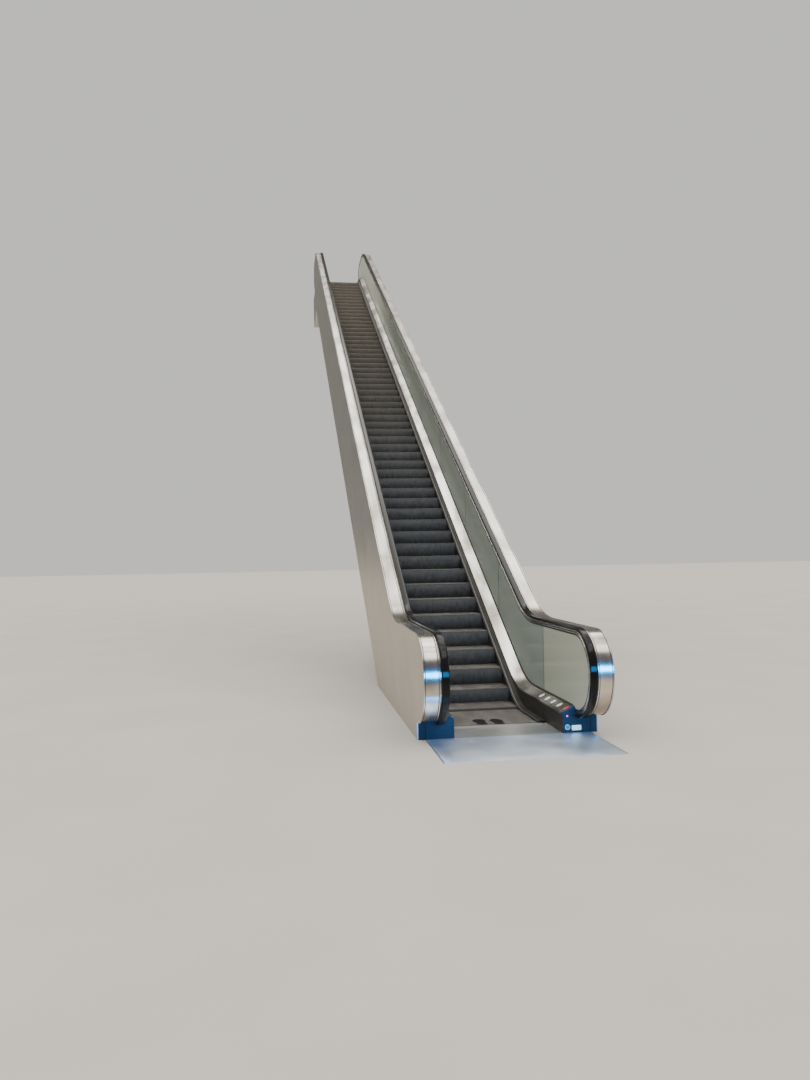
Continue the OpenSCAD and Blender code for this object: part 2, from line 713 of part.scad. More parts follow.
collar_wall = 6;
collar_out = 12;
module inlet_collar(y, z) {
    translate([handrail_x, y, z + inlet_z]) rotate([90, 0, 0])
        linear_extrude(cover_d / 2 + collar_out) difference() {
            inlet_outline(inlet_w, inlet_h);
            inlet_outline(inlet_w - 2 * collar_wall, inlet_h - 2 * collar_wall);
        }
}
module handrail_inlets() {
    color("black") both_sides() {
        inlet_collar(-comb_plate_len + cover_d / 2, floor_z);
        inlet_collar(upper_comb_y + comb_plate_len + collar_out, top_floor_z);
    }
}

// Side casings close the truss and the back of the balustrade.
casing_top = lowered(rail_path, strip_drop + strip_t + seat);
casing_r = newel_r - strip_drop - strip_t - seat;
soffit_path = lowered(nose_path, truss_d);
casing_joint_d = 3;
module casing(a, b) {
    across(casing_in, casing_t) intersection() {
        band(casing_top, soffit_path, a, b);
        translate([a, 0]) square([b - a, far]);
    }
}
// Grooves between the casing panels, at the joints of the glass.
module casing_joints(ys) {
    for (y = ys) translate([casing_x - casing_joint_d, y - joint_gap, -1]) cube([casing_t, joint_gap, far]);
}
module side_casings_lower() {
    color("#8f9497") both_sides() difference() {
        across(casing_in, casing_t) lower_end_outline(casing_top, casing_r, 0, lower_split);
        casing_joints([end_glass]);
    }
}
module side_casings_incline() {
    color("#8f9497") both_sides() difference() {
        casing(lower_split, upper_split);
        casing_joints([for (i = [1:mid_panels - 1]) lower_split + i * mid_len]);
    }
}
module side_casings_upper() {
    color("#8f9497") both_sides() {
        casing(upper_split, upper_comb_y);
        difference() {
            across(casing_in, casing_t) union() {
                upper_end_outline(casing_top, casing_r, top_floor_z - truss_d - tread_drop, upper_comb_y);
                translate([upper_comb_y, top_floor_z - truss_d - tread_drop])
                    square([upper_end_y - upper_comb_y, truss_d + tread_drop]);
            }
            casing_joints([upper_comb_y + end_glass]);
        }
    }
}

module soffit(a, b) {
    color("#777c80") across(-casing_in, 2 * casing_in) intersection() {
        band(lowered(soffit_path, -casing_t), soffit_path, a, b);
        translate([a, 0]) square([b - a, far]);
    }
}
module soffit_incline() { soffit(lower_split, upper_split); }
module soffit_upper() { soffit(upper_split, upper_end_y - casing_t); }

module end_plate_upper() {
    color("#777c80") translate([-casing_in, upper_end_y - casing_t, top_floor_z - tread_drop - truss_d])
        cube([2 * casing_in, casing_t, truss_d + tread_drop - plate_t]);
}

bearing_leg = 150;
module bearing_angle_upper() {
    z = top_floor_z - bearing_drop;
    color("slategray") {
        translate([-casing_in, upper_end_y, z]) cube([2 * casing_in, bearing_len, bearing_t]);
        translate([-casing_in, upper_end_y, z]) cube([2 * casing_in, bearing_t, bearing_leg]);
    }
}

landing_frame_lower();
floor_plate_lower();
comb_plate_lower();
landing_frame_upper();
floor_plate_upper();
comb_plate_upper();
steps_lower();
steps_incline_1();
steps_incline_2();
steps_incline_3();
steps_upper();
tracks_incline();
tracks_upper();
skirts_lower();
skirts_incline();
skirts_upper();
skirt_brushes();
inner_decks_lower();
inner_decks_incline();
inner_decks_upper();
glass_lower();
glass_incline();
glass_upper();
handrail_guides_lower();
handrail_guides_incline();
handrail_guides_upper();
handrails_lower();
handrails_incline();
handrails_upper();
outer_decks_lower();
outer_decks_incline();
outer_decks_upper();
base_covers_lower();
base_covers_upper();
handrail_inlets();
side_casings_lower();
side_casings_incline();
side_casings_upper();
soffit_incline();
soffit_upper();
end_plate_upper();
bearing_angle_upper();
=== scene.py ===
import math

import bmesh
import bpy
from mathutils import Matrix, Vector


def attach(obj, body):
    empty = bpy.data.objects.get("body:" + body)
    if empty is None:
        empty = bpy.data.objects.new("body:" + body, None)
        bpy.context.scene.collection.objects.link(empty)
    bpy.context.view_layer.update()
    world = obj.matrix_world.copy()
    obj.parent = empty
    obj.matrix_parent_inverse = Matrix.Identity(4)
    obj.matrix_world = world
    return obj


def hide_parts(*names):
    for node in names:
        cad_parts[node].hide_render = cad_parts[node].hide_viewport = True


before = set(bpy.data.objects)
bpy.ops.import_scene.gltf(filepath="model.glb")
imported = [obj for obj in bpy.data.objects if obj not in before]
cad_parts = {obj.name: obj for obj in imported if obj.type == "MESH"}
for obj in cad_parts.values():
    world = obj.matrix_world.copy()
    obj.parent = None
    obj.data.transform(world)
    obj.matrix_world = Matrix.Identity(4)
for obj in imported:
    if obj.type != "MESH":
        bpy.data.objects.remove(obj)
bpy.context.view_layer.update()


# The hall: a pale floor laid flush with the lower floor plate, and light by direction alone, soft on
# matt things and patchy in polished ones. A blue lamp behind the camera, which stands at eye height,
# gives the polished pieces the glow of daylight from outside.
class Value:
    """One value in a finish. Sums, products and quotients of values add Math nodes."""

    def __init__(self, tree, socket=None):
        self.tree, self.socket = tree, socket

    def node(self, kind, settings, sockets, output=0):
        """Adds a node, sets it up, joins or sets its sockets, and gives back one of its outputs."""
        made = self.tree.nodes.new("ShaderNode" + kind)
        for key, setting in settings.items():
            setattr(made, key, setting)
        for key, value in sockets.items():
            if isinstance(value, Value):
                self.tree.links.new(value.socket, made.inputs[key])
            else:
                made.inputs[key].default_value = value
        return Value(self.tree, made.outputs[output])

    def maths(self, operation, first, second):
        return self.node("Math", {"operation": operation}, {0: first, 1: second})

    def __add__(self, other):
        return self.maths("ADD", self, other)

    def __radd__(self, other):
        return self.maths("ADD", other, self)

    def __sub__(self, other):
        return self.maths("SUBTRACT", self, other)

    def __rsub__(self, other):
        return self.maths("SUBTRACT", other, self)

    def __mul__(self, other):
        return self.maths("MULTIPLY", self, other)

    def __rmul__(self, other):
        return self.maths("MULTIPLY", other, self)

    def __truediv__(self, other):
        return self.maths("DIVIDE", self, other)

    def __rtruediv__(self, other):
        return self.maths("DIVIDE", other, self)

    def along(self, letter):
        """One coordinate of these coordinates, X, Y or Z."""
        return self.node("SeparateXYZ", {}, {"Vector": self}, letter)

    def step(self, low, high):
        """0 below low, 1 above high, and smooth between them."""
        return self.node("MapRange", {"interpolation_type": "SMOOTHSTEP"},
                         {"Value": self, "From Min": low, "From Max": high})

    def tint(self, first, second):
        """The first colour where this value is 0 and the second where it is 1."""
        ends = [end if isinstance(end, Value) else (*end, 1) for end in (first, second)]
        return self.node("Mix", {"data_type": "RGBA"}, {0: self, 6: ends[0], 7: ends[1]}, 2)

    def noise(self, sizes, detail, turn=0.0):
        """Noise on these coordinates with features of these sizes, in metres, turned about X."""
        placed = self.node("Mapping", {"vector_type": "TEXTURE"},
                           {"Vector": self, "Rotation": (turn, 0, 0), "Scale": sizes})
        return placed.node("TexNoise", {}, {"Vector": placed, "Scale": 1.0, "Detail": detail})


def new_finish(name, **numbers):
    """A finish with its fixed shader numbers. Gives the material and its Object coordinates."""
    material = bpy.data.materials.new(name)
    material.use_nodes = True
    shader = material.node_tree.nodes["Principled BSDF"]
    for key, number in numbers.items():
        shader.inputs[key.replace("_", " ")].default_value = number
    return material, Value(material.node_tree).node("TexCoord", {}, {}, "Object")


def feed(material, **values):
    """Joins values to the shader's sockets, and a height by way of a Bump node to its normal."""
    shader = material.node_tree.nodes["Principled BSDF"]
    for key, value in values.items():
        if key == "Bump":
            height, depth = value
            value = height.node("Bump", {}, {"Height": height, "Distance": depth}, "Normal")
            key = "Normal"
        material.node_tree.links.new(value.socket, shader.inputs[key.replace("_", " ")])


def clean_start():
    """Leaves edit mode and selects nothing."""
    if bpy.context.mode != "OBJECT":
        bpy.ops.object.mode_set(mode="OBJECT")
    bpy.ops.object.select_all(action="DESELECT")


def joined(name, pieces):
    """Joins pieces into one and gives it a name."""
    clean_start()
    for piece in pieces:
        piece.select_set(True)
    bpy.context.view_layer.objects.active = pieces[0]
    if len(pieces) > 1:
        bpy.ops.object.join()
    pieces[0].name = pieces[0].data.name = name
    return pieces[0]


camera_place = Vector((-2.240, -9.027, 1.906))
yaw, pitch, roll = math.radians(8.149), math.radians(0.842), math.radians(-0.984)
ahead = Vector((math.sin(yaw) * math.cos(pitch), math.cos(yaw) * math.cos(pitch), math.sin(pitch)))
level = Vector((math.cos(yaw), -math.sin(yaw), 0))
overhead = level.cross(ahead)
image_right = level * math.cos(roll) + overhead * math.sin(roll)
image_up = overhead * math.cos(roll) - level * math.sin(roll)
bpy.ops.object.camera_add()
camera = bpy.context.object
camera.name = "camera"
camera.matrix_world = (Matrix.Translation(camera_place)
                       @ Matrix((image_right, image_up, -ahead)).transposed().to_4x4())
camera.data.sensor_width = 36
camera.data.lens = 28.60
camera.data.clip_end = 200
bpy.context.scene.camera = camera

floor_level = 0.037
floor_side, floor_near, floor_far = 80, -72, 88
pit_side, pit_front, pit_back = 0.858, -1.560, 2.0
slabs = []
for left, right, near, far in ((-floor_side, -pit_side, floor_near, floor_far),
                               (pit_side, floor_side, floor_near, floor_far),
                               (-pit_side, pit_side, floor_near, pit_front),
                               (-pit_side, pit_side, pit_back, floor_far)):
    bpy.ops.mesh.primitive_plane_add(size=1, location=((left + right) / 2, (near + far) / 2, floor_level))
    bpy.ops.transform.resize(value=(right - left, far - near, 1))
    slabs.append(bpy.context.object)
floor = joined("floor", slabs)
bpy.ops.object.transform_apply(location=True, scale=True)
floor_finish, floor_place = new_finish("pale_floor", Roughness=0.8, Specular_IOR_Level=0.0)
pale = floor_place.noise((1.5, 1.5, 1.5), 4.0).tint((0.36, 0.345, 0.32), (0.42, 0.40, 0.375))
# For glossy rays the floor takes another colour, a painted reflection seen only in the polished pieces: dark
# far behind the camera and warm near the escalator.
floor_painted_reflection = floor_place.along("Y").step(-7.0, -0.6).tint((0.080, 0.078, 0.078), (0.36, 0.31, 0.245))
floor_to_gloss = floor_place.node("LightPath", {}, {}, "Is Glossy Ray")
feed(floor_finish, Base_Color=floor_to_gloss.tint(pale, floor_painted_reflection))
floor.data.materials.append(floor_finish)

hall = bpy.data.worlds.new("hall")
bpy.context.scene.world = hall
hall.use_nodes = True
direction_seen = Value(hall.node_tree).node("TexCoord", {}, {}, "Object")
seen_along, seen_height = direction_seen.along("Y"), direction_seen.along("Z")
patches = direction_seen.noise((0.20, 0.20, 0.20), 2.0)
up_the_hall = seen_along.step(-0.2, 0.5)
warm_sides = patches.tint((0.22, 0.185, 0.14), (0.34, 0.29, 0.225))
sides = (up_the_hall * 0.8).tint(warm_sides, (0.135, 0.138, 0.120))
near_end = seen_height.step(0.42, 0.62).tint((0.095, 0.100, 0.115), (0.165, 0.112, 0.092))
low_part = (1 - seen_along.step(-0.75, -0.55)).tint(sides, near_end)
lit_top = patches.step(0.35, 0.65).tint((1.30, 1.22, 1.08), (4.3, 4.15, 3.90))
reflected = (seen_height + up_the_hall * 0.13).step(0.78, 0.86).tint(low_part, lit_top)
soft_light = seen_height.step(0.2, 0.9).tint((0.85, 0.82, 0.78), (3.2, 3.1, 2.95))
to_gloss = reflected.node("LightPath", {}, {}, "Is Glossy Ray")
to_camera = reflected.node("LightPath", {}, {}, "Is Camera Ray")
hall_colour = to_camera.tint(to_gloss.tint(soft_light, reflected), (0.72, 0.71, 0.69))
hall.node_tree.links.new(hall_colour.socket, hall.node_tree.nodes["Background"].inputs["Color"])

doorway_y, doorway_low, doorway_high, doorway_width = -13.0, 2.4, 5.1, 22.0
bpy.ops.object.light_add(type="AREA", location=(0, doorway_y, (doorway_low + doorway_high) / 2),
                         rotation=(math.radians(90), 0, 0))
doorway = bpy.context.object
doorway.name = "doorway"
doorway.data.shape = "RECTANGLE"
doorway.data.size, doorway.data.size_y = doorway_width, doorway_high - doorway_low
doorway.data.energy = 4600
doorway.data.color = (0.02, 0.40, 1.0)
doorway.visible_camera = doorway.visible_diffuse = False

# The step band: sixty-odd cast aluminium steps on a chain, each a cleated tread and a cleated riser
# curved about the rear edge of the tread, on side brackets with rollers that run on two tracks. The
# cleats are worn bright at the nose, with a painted highlight on the noses that grows up the incline,
# and warm grey on top; the risers darken towards their foot.
rise, incline = 11.35, math.radians(30)
comb_to_corner = 0.925
travel = rise / math.tan(incline)
upper_comb = 2 * comb_to_corner + travel
lower_floor, upper_floor = 0.040, 0.040 + rise
bend_share = math.tan(incline / 2)
tread_depth_below = 0.010
step_pitch, step_gap, step_width = 0.4055, 0.004, 1.0
riser_height, tread_thickness, riser_thickness = 0.225, 0.0255, 0.022
first_nose, last_nose = 0.323, upper_comb - 0.03
lowest_step_point = 0.0043
cleat_width, cleat_height, cleat_count = 0.0046, 0.010, 111
cleat_pitch = (step_width - cleat_width) / (cleat_count - 1)
# A line is [lower corner y, z, upper corner y, z, lower bend radius, upper bend radius].
nose_line = [comb_to_corner, lower_floor - tread_depth_below,
             comb_to_corner + travel, upper_floor - tread_depth_below, 1.0, 1.5]


def pick(piece):
    """Selects this piece alone and makes it the active one."""
    clean_start()
    piece.select_set(True)
    bpy.context.view_layer.objects.active = piece


def outline(name, points, closed):
    """A flat outline with its vertices at these points, left selected in edit mode."""
    clean_start()
    bpy.ops.mesh.primitive_circle_add(vertices=len(points), fill_type="NGON" if closed else "NOTHING",
                                      location=(0, 0, 0))
    piece = bpy.context.object
    piece.name = piece.data.name = name
    for vertex, point in zip(piece.data.vertices, points):
        vertex.co = point
    bpy.ops.object.mode_set(mode="EDIT")
    bpy.ops.mesh.select_mode(type="VERT")
    bpy.ops.mesh.select_all(action="SELECT")
    return piece


def outwards():
    """Turns every face of the piece being edited outwards and leaves edit mode."""
    bpy.ops.mesh.select_all(action="SELECT")
    bpy.ops.mesh.normals_make_consistent(inside=False)
    bpy.ops.object.mode_set(mode="OBJECT")


def cut_plate(name, shape, near, far, axis="X"):
    """A plate whose outline is given in the plane across an axis, from near to far along it."""
    order = {"X": (2, 0, 1), "Y": (0, 2, 1), "Z": (0, 1, 2)}[axis]
    piece = outline(name, [[(a, b, near)[i] for i in order] for a, b in shape], True)
    along = Vector([(far - near) * (axis == letter) for letter in "XYZ"])
    bpy.ops.mesh.extrude_region_move(TRANSFORM_OT_translate={"value": along})
    outwards()
    return piece


def finish_edges(piece, width, segments=2, smooth=35):
    """Rounds the sharp edges of a piece and shades it smooth up to an angle."""
    pick(piece)
    if width:
        rounding = piece.modifiers.new("rounding", "BEVEL")
        rounding.width, rounding.segments, rounding.limit_method = width, segments, "ANGLE"
        rounding.angle_limit = math.radians(40)
        bpy.ops.object.modifier_apply(modifier=rounding.name)
    bpy.ops.object.shade_smooth_by_angle(angle=math.radians(smooth))


def both_sides(piece):
    """Adds the piece's mirror image on the other side of the escalator."""
    pick(piece)
    twin = piece.modifiers.new("other_side", "MIRROR")
    twin.use_mirror_merge = False
    bpy.ops.object.modifier_apply(modifier=twin.name)


def in_a_row(piece, count):
    """Sets copies of a piece side by side across the band, one cleat pitch apart."""
    piece.location.x = -(count - 1) / 2 * cleat_pitch
    pick(piece)
    bpy.ops.object.transform_apply(location=True)
    row = piece.modifiers.new("row", "ARRAY")
    row.count = count
    row.use_relative_offset, row.use_constant_offset = False, True
    row.constant_offset_displace = (cleat_pitch, 0, 0)
    bpy.ops.object.modifier_apply(modifier=row.name)


def hand_over(piece, slot, *nodes, finish=None):
    """Fixes a piece to the escalator, in its finish, and in place of these nodes of the CAD."""
    if finish:
        piece.data.materials.append(finish)
    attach(piece, "root")
    if nodes:
        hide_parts(*nodes)


def clouded(name, sizes, detail, dark, light, rough=None, **numbers):
    """A finish clouded from dark to light and, where rough gives (base, share), in roughness too."""
    material, place = new_finish(name, **numbers)
    cloud = place.noise(sizes, detail)
    feed(material, Base_Color=cloud.tint(dark, light))
    if rough:
        feed(material, Roughness=rough[0] + cloud * rough[1])
    return material


def arc(radius, start, end, count):
    """Points of the riser's curve in degrees below the tread, about the tread's rear edge."""
    angles = [math.radians(start + (end - start) * i / count) for i in range(count + 1)]
    return [(step_pitch - radius * math.cos(a), -radius * math.sin(a)) for a in angles]


riser_angle = math.degrees(math.asin(riser_height / step_pitch))
# The nose band below the tread is worn bright and also carries a painted highlight.
worn_and_highlit_nose, nose_chamfer, nose_flat = 0.014, 0.003, 0.0001
worn_and_highlit_angle = math.degrees(math.asin((nose_chamfer + worn_and_highlit_nose) / step_pitch))
inner_curve_start = 4
tread_rear = step_pitch - step_gap
cleat_foot = cleat_height + 0.001
cleat_shape = ([(tread_rear, -cleat_foot), (tread_rear, 0), (nose_chamfer, 0), (nose_flat, -nose_chamfer)]
               + arc(step_pitch, worn_and_highlit_angle, riser_angle, 5)
               + arc(step_pitch - cleat_foot, riser_angle, inner_curve_start, 3))
cleat = cut_plate("cleat", cleat_shape, -cleat_width / 2, cleat_width / 2)
in_a_row(cleat, cleat_count)

web_radius = step_pitch - riser_thickness
web_top = math.degrees(math.asin(tread_thickness / web_radius))
web_shape = ([(tread_rear, -tread_thickness), (tread_rear, -cleat_height), (cleat_height, -cleat_height)]
             + arc(step_pitch - cleat_height, inner_curve_start, riser_angle, 5)
             + arc(web_radius, riser_angle, web_top, 5))
web = cut_plate("web", web_shape, -step_width / 2, step_width / 2)
roller_back, roller_down, roller_radius, roller_thickness = 0.120, 0.200, 0.038, 0.024
roller_rim, roller_dish = 0.012, 0.003
bracket_x, bracket_thickness, bracket_rear, bracket_shoulder = 0.455, 0.012, tread_rear - 0.008, 0.042
hub = 0.022
bracket = cut_plate("bracket", [
    (riser_thickness, -tread_thickness), (bracket_rear, -tread_thickness), (bracket_rear, -bracket_shoulder),
    (roller_back + hub, -roller_down), (roller_back, -roller_down - hub), (roller_back - hub, -roller_down)],
    bracket_x, bracket_x + bracket_thickness)
bpy.ops.mesh.primitive_cylinder_add(vertices=24, radius=roller_radius, depth=roller_thickness,
                                    location=(bracket_x + bracket_thickness + roller_thickness / 2,
                                              roller_back, -roller_down), rotation=(0, math.pi / 2, 0))
roller = bpy.context.object
roller.name = "roller"
bpy.ops.object.transform_apply(location=True, rotation=True)
bpy.ops.object.mode_set(mode="EDIT")
bpy.ops.mesh.select_all(action="DESELECT")
bpy.ops.mesh.select_mode(type="FACE")
roller_mesh = bmesh.from_edit_mesh(roller.data)
for face in roller_mesh.faces:
    face.select_set(abs(face.normal.x) > 0.9)
bmesh.update_edit_mesh(roller.data)
bpy.ops.mesh.inset(thickness=roller_rim, depth=-roller_dish, use_individual=True)
bpy.ops.object.mode_set(mode="OBJECT")
for part in (bracket, roller):
    both_sides(part)

tread_finish, tread_place = new_finish("step_tread", Specular_IOR_Level=0.3)
tread_cloud = tread_place.noise((0.12, 0.5, 0.5), 4.0)
tread_fine = tread_place.noise((0.004, 0.02, 0.02), 3.0)
tread_wear = (tread_cloud * 0.65 + tread_fine * 0.35).step(0.32, 0.68)
tread_across, tread_along = tread_place.along("X"), tread_place.along("Y")


def painted_oval(centre_x, centre_y, half_width, half_length):
    """1 inside an oval painted on the first flat tread, and 0 outside it."""
    off_x = (tread_across - centre_x) / half_width
    off_y = (tread_along - centre_y) / half_length
    return 1 - (off_x * off_x + off_y * off_y).step(0.90, 1.05)


footprints = painted_oval(-0.115, 0.283, 0.075, 0.110)
for oval in ((-0.113, 0.150, 0.062, 0.080), (0.076, 0.262, 0.072, 0.110), (0.075, 0.128, 0.062, 0.080)):
    footprints = footprints.maths("MAXIMUM", footprints, painted_oval(*oval))
# The treads' warm taupe, clouded at random by wear, is partly a painted reflection of the warm hall.
tread_colour_with_reflection = tread_wear.tint((0.190, 0.175, 0.155), (0.345, 0.315, 0.275))
feed(tread_finish, Base_Color=footprints.tint(tread_colour_with_reflection, (0.016, 0.011, 0.008)),
     Metallic=0.35 - footprints * 0.35, Roughness=0.42 + tread_cloud * 0.2 + footprints * 0.38,
     Bump=(tread_fine, 0.0004))
# Each nose band is worn bright with random chips, and from 3 m to 9 m up the incline it is painted lighter
# still, a painted highlight along the nose.
nose_finish, nose_place = new_finish("step_nose", Specular_IOR_Level=0.12, Roughness=0.5)
nose_chips = nose_place.noise((0.012, 0.01, 0.01), 3.0).step(0.35, 0.65)
low_nose_colour = nose_chips.tint((0.120, 0.117, 0.100), (0.240, 0.235, 0.208))
nose_with_painted_highlight = nose_chips.tint((0.260, 0.250, 0.205), (0.480, 0.465, 0.385))
feed(nose_finish, Base_Color=nose_place.along("Z").step(3.0, 9.0).tint(low_nose_colour, nose_with_painted_highlight),
     Bump=(nose_chips, 0.0003))
riser_finish, riser_place = new_finish("step_riser", Specular_IOR_Level=0.10)
riser_cloud = riser_place.noise((0.05, 0.3, 0.09), 4.0)
riser_fine = riser_place.noise((0.009, 0.05, 0.03), 2.0)
riser_depth = riser_place.node("Attribute", {"attribute_name": "below_nose"}, {}, "Fac")
# Risers are streaked at random, lighter just below the nose and darker towards the foot, and they turn
# lighter and warmer from 2 m to 7 m high.
riser_tone_mask = (riser_cloud * 0.4 + riser_fine * 0.25 + (1 - riser_depth) * 0.35).step(0.25, 0.75)
riser_up = riser_place.along("Z")
low_riser_colour = riser_tone_mask.tint((0.084, 0.088, 0.091), (0.240, 0.246, 0.252))
high_riser_colour = riser_tone_mask.tint((0.120, 0.103, 0.080), (0.290, 0.253, 0.197))
riser_colour = riser_up.step(2.0, 7.0).tint(low_riser_colour, high_riser_colour)
feed(riser_finish, Base_Color=(1 - riser_up.step(0.050, 0.062)).tint(riser_colour, (0.19, 0.175, 0.155)),
     Roughness=0.38 + riser_cloud * 0.25, Bump=(riser_fine, 0.0003))
groove_finish = clouded("step_groove", (0.03, 0.05, 0.05), 4.0, (0.014, 0.016, 0.018), (0.040, 0.042, 0.044),
                        Metallic=0.1, Roughness=0.8)
roller_finish = clouded("step_roller", (0.02, 0.02, 0.02), 4.0, (0.02, 0.02, 0.02), (0.10, 0.09, 0.07),
                        Roughness=0.5)

step = joined("step", [cleat, web, bracket, roller])
below_nose = step.data.attributes.new("below_nose", "FLOAT", "POINT")
for vertex, depth in zip(step.data.vertices, below_nose.data):
    depth.value = min(1.0, max(0.0, -vertex.co.z / riser_height))
step_finishes = [tread_finish, nose_finish, riser_finish, groove_finish, roller_finish]
for finish in step_finishes:
    step.data.materials.append(finish)
cleat_middle, nose_depth, largest_cleat_face = step_pitch - 0.006, 0.004, 0.02
rollers_x, rollers_front, rollers_rear = bracket_x + 0.005, 0.05, 0.17
rollers_top = -roller_down + roller_radius + 0.004


def finish_of(face):
    """Which finish a face of a step wears, by where it lies and which way it turns."""
    across, y, z = abs(face.normal.x), face.center.y, face.center.z
    beside_roller = abs(face.center.x) > rollers_x and rollers_front < y < rollers_rear
    if beside_roller and z < rollers_top and across < 0.99:
        return roller_finish
    if across > 0.5 or face.area > largest_cleat_face:
        return groove_finish
    if z > -nose_flat:
        return tread_finish
    if z > -nose_chamfer - worn_and_highlit_nose and y < nose_depth:
        return nose_finish
    on_cleat = y < step_pitch - cleat_middle * math.cos(math.asin(min(1, -z / cleat_middle)))
    return riser_finish if on_cleat else groove_finish


for face in step.data.polygons:
    face.material_index = step_finishes.index(finish_of(face))


def nose_at(run):
    """Where the nose line lies, this far along it from the start of its lower bend."""
    low_y, low_z, high_y, high_z, low_r, high_r = nose_line
    start_y = low_y - low_r * bend_share
    low_arc, high_arc = low_r * incline, high_r * incline
    slope = travel / math.cos(incline) - (low_r + high_r) * bend_share
    if run < 0:
        return start_y + run, low_z
    if run < low_arc:
        return start_y + low_r * math.sin(run / low_r), low_z + low_r * (1 - math.cos(run / low_r))
    if run < low_arc + slope:
        up = run - low_arc
        return (start_y + low_r * math.sin(incline) + up * math.cos(incline),
                low_z + low_r * (1 - math.cos(incline)) + up * math.sin(incline))
    left = incline - (run - low_arc - slope) / high_r
    if left > 0:
        return high_y + high_r * (bend_share - math.sin(left)), high_z - high_r * (1 - math.cos(left))
    return high_y + high_r * bend_share + run - low_arc - slope - high_arc, high_z


noses = []
run = -first_nose - nose_line[0] + nose_line[4] * bend_share
while nose_at(run)[0] < last_nose:
    noses.append(nose_at(run))
    short, long = run + 0.95 * step_pitch, run + 1.1 * step_pitch
    for halving in range(30):
        run = (short + long) / 2
        if math.dist(nose_at(run), noses[-1]) < step_pitch:
            short = run
        else:
            long = run

end_steps = 5
third = math.ceil((len(noses) - 2 * end_steps) / 3)
first_steps = [0, end_steps, end_steps + third, end_steps + 2 * third, len(noses) - end_steps, len(noses)]
step_nodes = ["steps_lower", "steps_incline_1", "steps_incline_2", "steps_incline_3", "steps_upper"]
for node, first, last in zip(step_nodes, first_steps, first_steps[1:]):
    copies = []
    for y, z in noses[first:last]:
        copy = bpy.data.objects.new("step_copy", step.data.copy())
        bpy.context.collection.objects.link(copy)
        copy.data.transform(Matrix.Translation((0, y, z)))
        copies.append(copy)
        if z - riser_height < lowest_step_point:
            pick(copy)
            bpy.ops.object.mode_set(mode="EDIT")
            bpy.ops.mesh.select_all(action="SELECT")
            bpy.ops.mesh.bisect(plane_co=(0, 0, lowest_step_point), plane_no=(0, 0, 1), use_fill=True,
                                clear_inner=True)
            bpy.ops.object.mode_set(mode="OBJECT")
    hand_over(joined("band_of_" + node, copies), "step", node)
bpy.data.objects.remove(step)

# The combs: five cast segments screwed to the end of each comb plate, with a tooth in every groove
# of the treads, and behind them the steel comb plate, ground across and let in flush.
comb_plate_length, comb_segment_length, plate_thickness = 0.560, 0.110, 0.008
kick_panel_x = 0.562
tooth_width, tooth_reach, tooth_dip, tooth_tip = 0.0028, 0.042, 0.005, 0.002
comb_segments, comb_gap, comb_edge, comb_thickness, comb_seat = 5, 0.0006, 0.012, 0.0047, 0.005
segment_width = (cleat_count - 1) * cleat_pitch / comb_segments
screw_radius, screw_head, screw_proud, screws_back = 0.006, 0.002, 0.0002, 0.085
# A landing is (name, comb line, which way the steps lie from it, floor height).
landings = (("lower", 0.0, 1, lower_floor), ("upper", upper_comb, -1, upper_floor))


def toward(comb_line, direction, floor_height, shape):
    """A side outline measured from a comb line at floor level, turned round for the upper landing."""
    return [(comb_line + direction * y, floor_height + z) for y, z in shape]


comb_finish = clouded("comb_casting", (0.05, 0.05, 0.05), 4.0, (0.42, 0.42, 0.41), (0.62, 0.62, 0.60),
                      (0.32, 0.22), Metallic=0.9)
plate_finish, plate_place = new_finish("comb_plate_steel", Metallic=1.0)
plate_lines = plate_place.noise((0.25, 0.0012, 0.05), 3.0)
plate_cloud = plate_place.noise((0.4, 0.25, 0.25), 3.0)
feed(plate_finish, Base_Color=plate_lines.tint((0.44, 0.44, 0.43), (0.62, 0.62, 0.61)),
     Roughness=0.26 + plate_cloud * 0.22, Bump=(plate_lines, 0.0002))
screw_finish = clouded("screw", (0.004, 0.004, 0.004), 2.0, (0.30, 0.30, 0.30), (0.55, 0.55, 0.54),
                       Metallic=1.0, Roughness=0.3)
tip = tread_depth_below + tooth_dip
tooth_shape = [(-comb_edge, -comb_thickness), (-comb_edge, 0), (tooth_reach, tooth_tip - tip),
               (tooth_reach, -tip), (0, -tip)]
segment_shape = [(-comb_segment_length, -comb_thickness), (-comb_segment_length, 0), (-comb_edge, 0),
                 (-0.008, -0.0012), (-0.009, -comb_thickness)]
seat_end = -comb_segment_length - comb_gap
plate_shape = [(-comb_plate_length, -plate_thickness), (-comb_plate_length, 0), (seat_end, 0),
               (seat_end, -comb_seat), (-comb_edge, -comb_seat), (-comb_edge, -plate_thickness)]
wing_shape = [(-comb_plate_length, -plate_thickness), (-comb_plate_length, 0), (0, 0), (0, -plate_thickness)]
recess = (cleat_count - 1) * cleat_pitch / 2 + comb_gap / 2
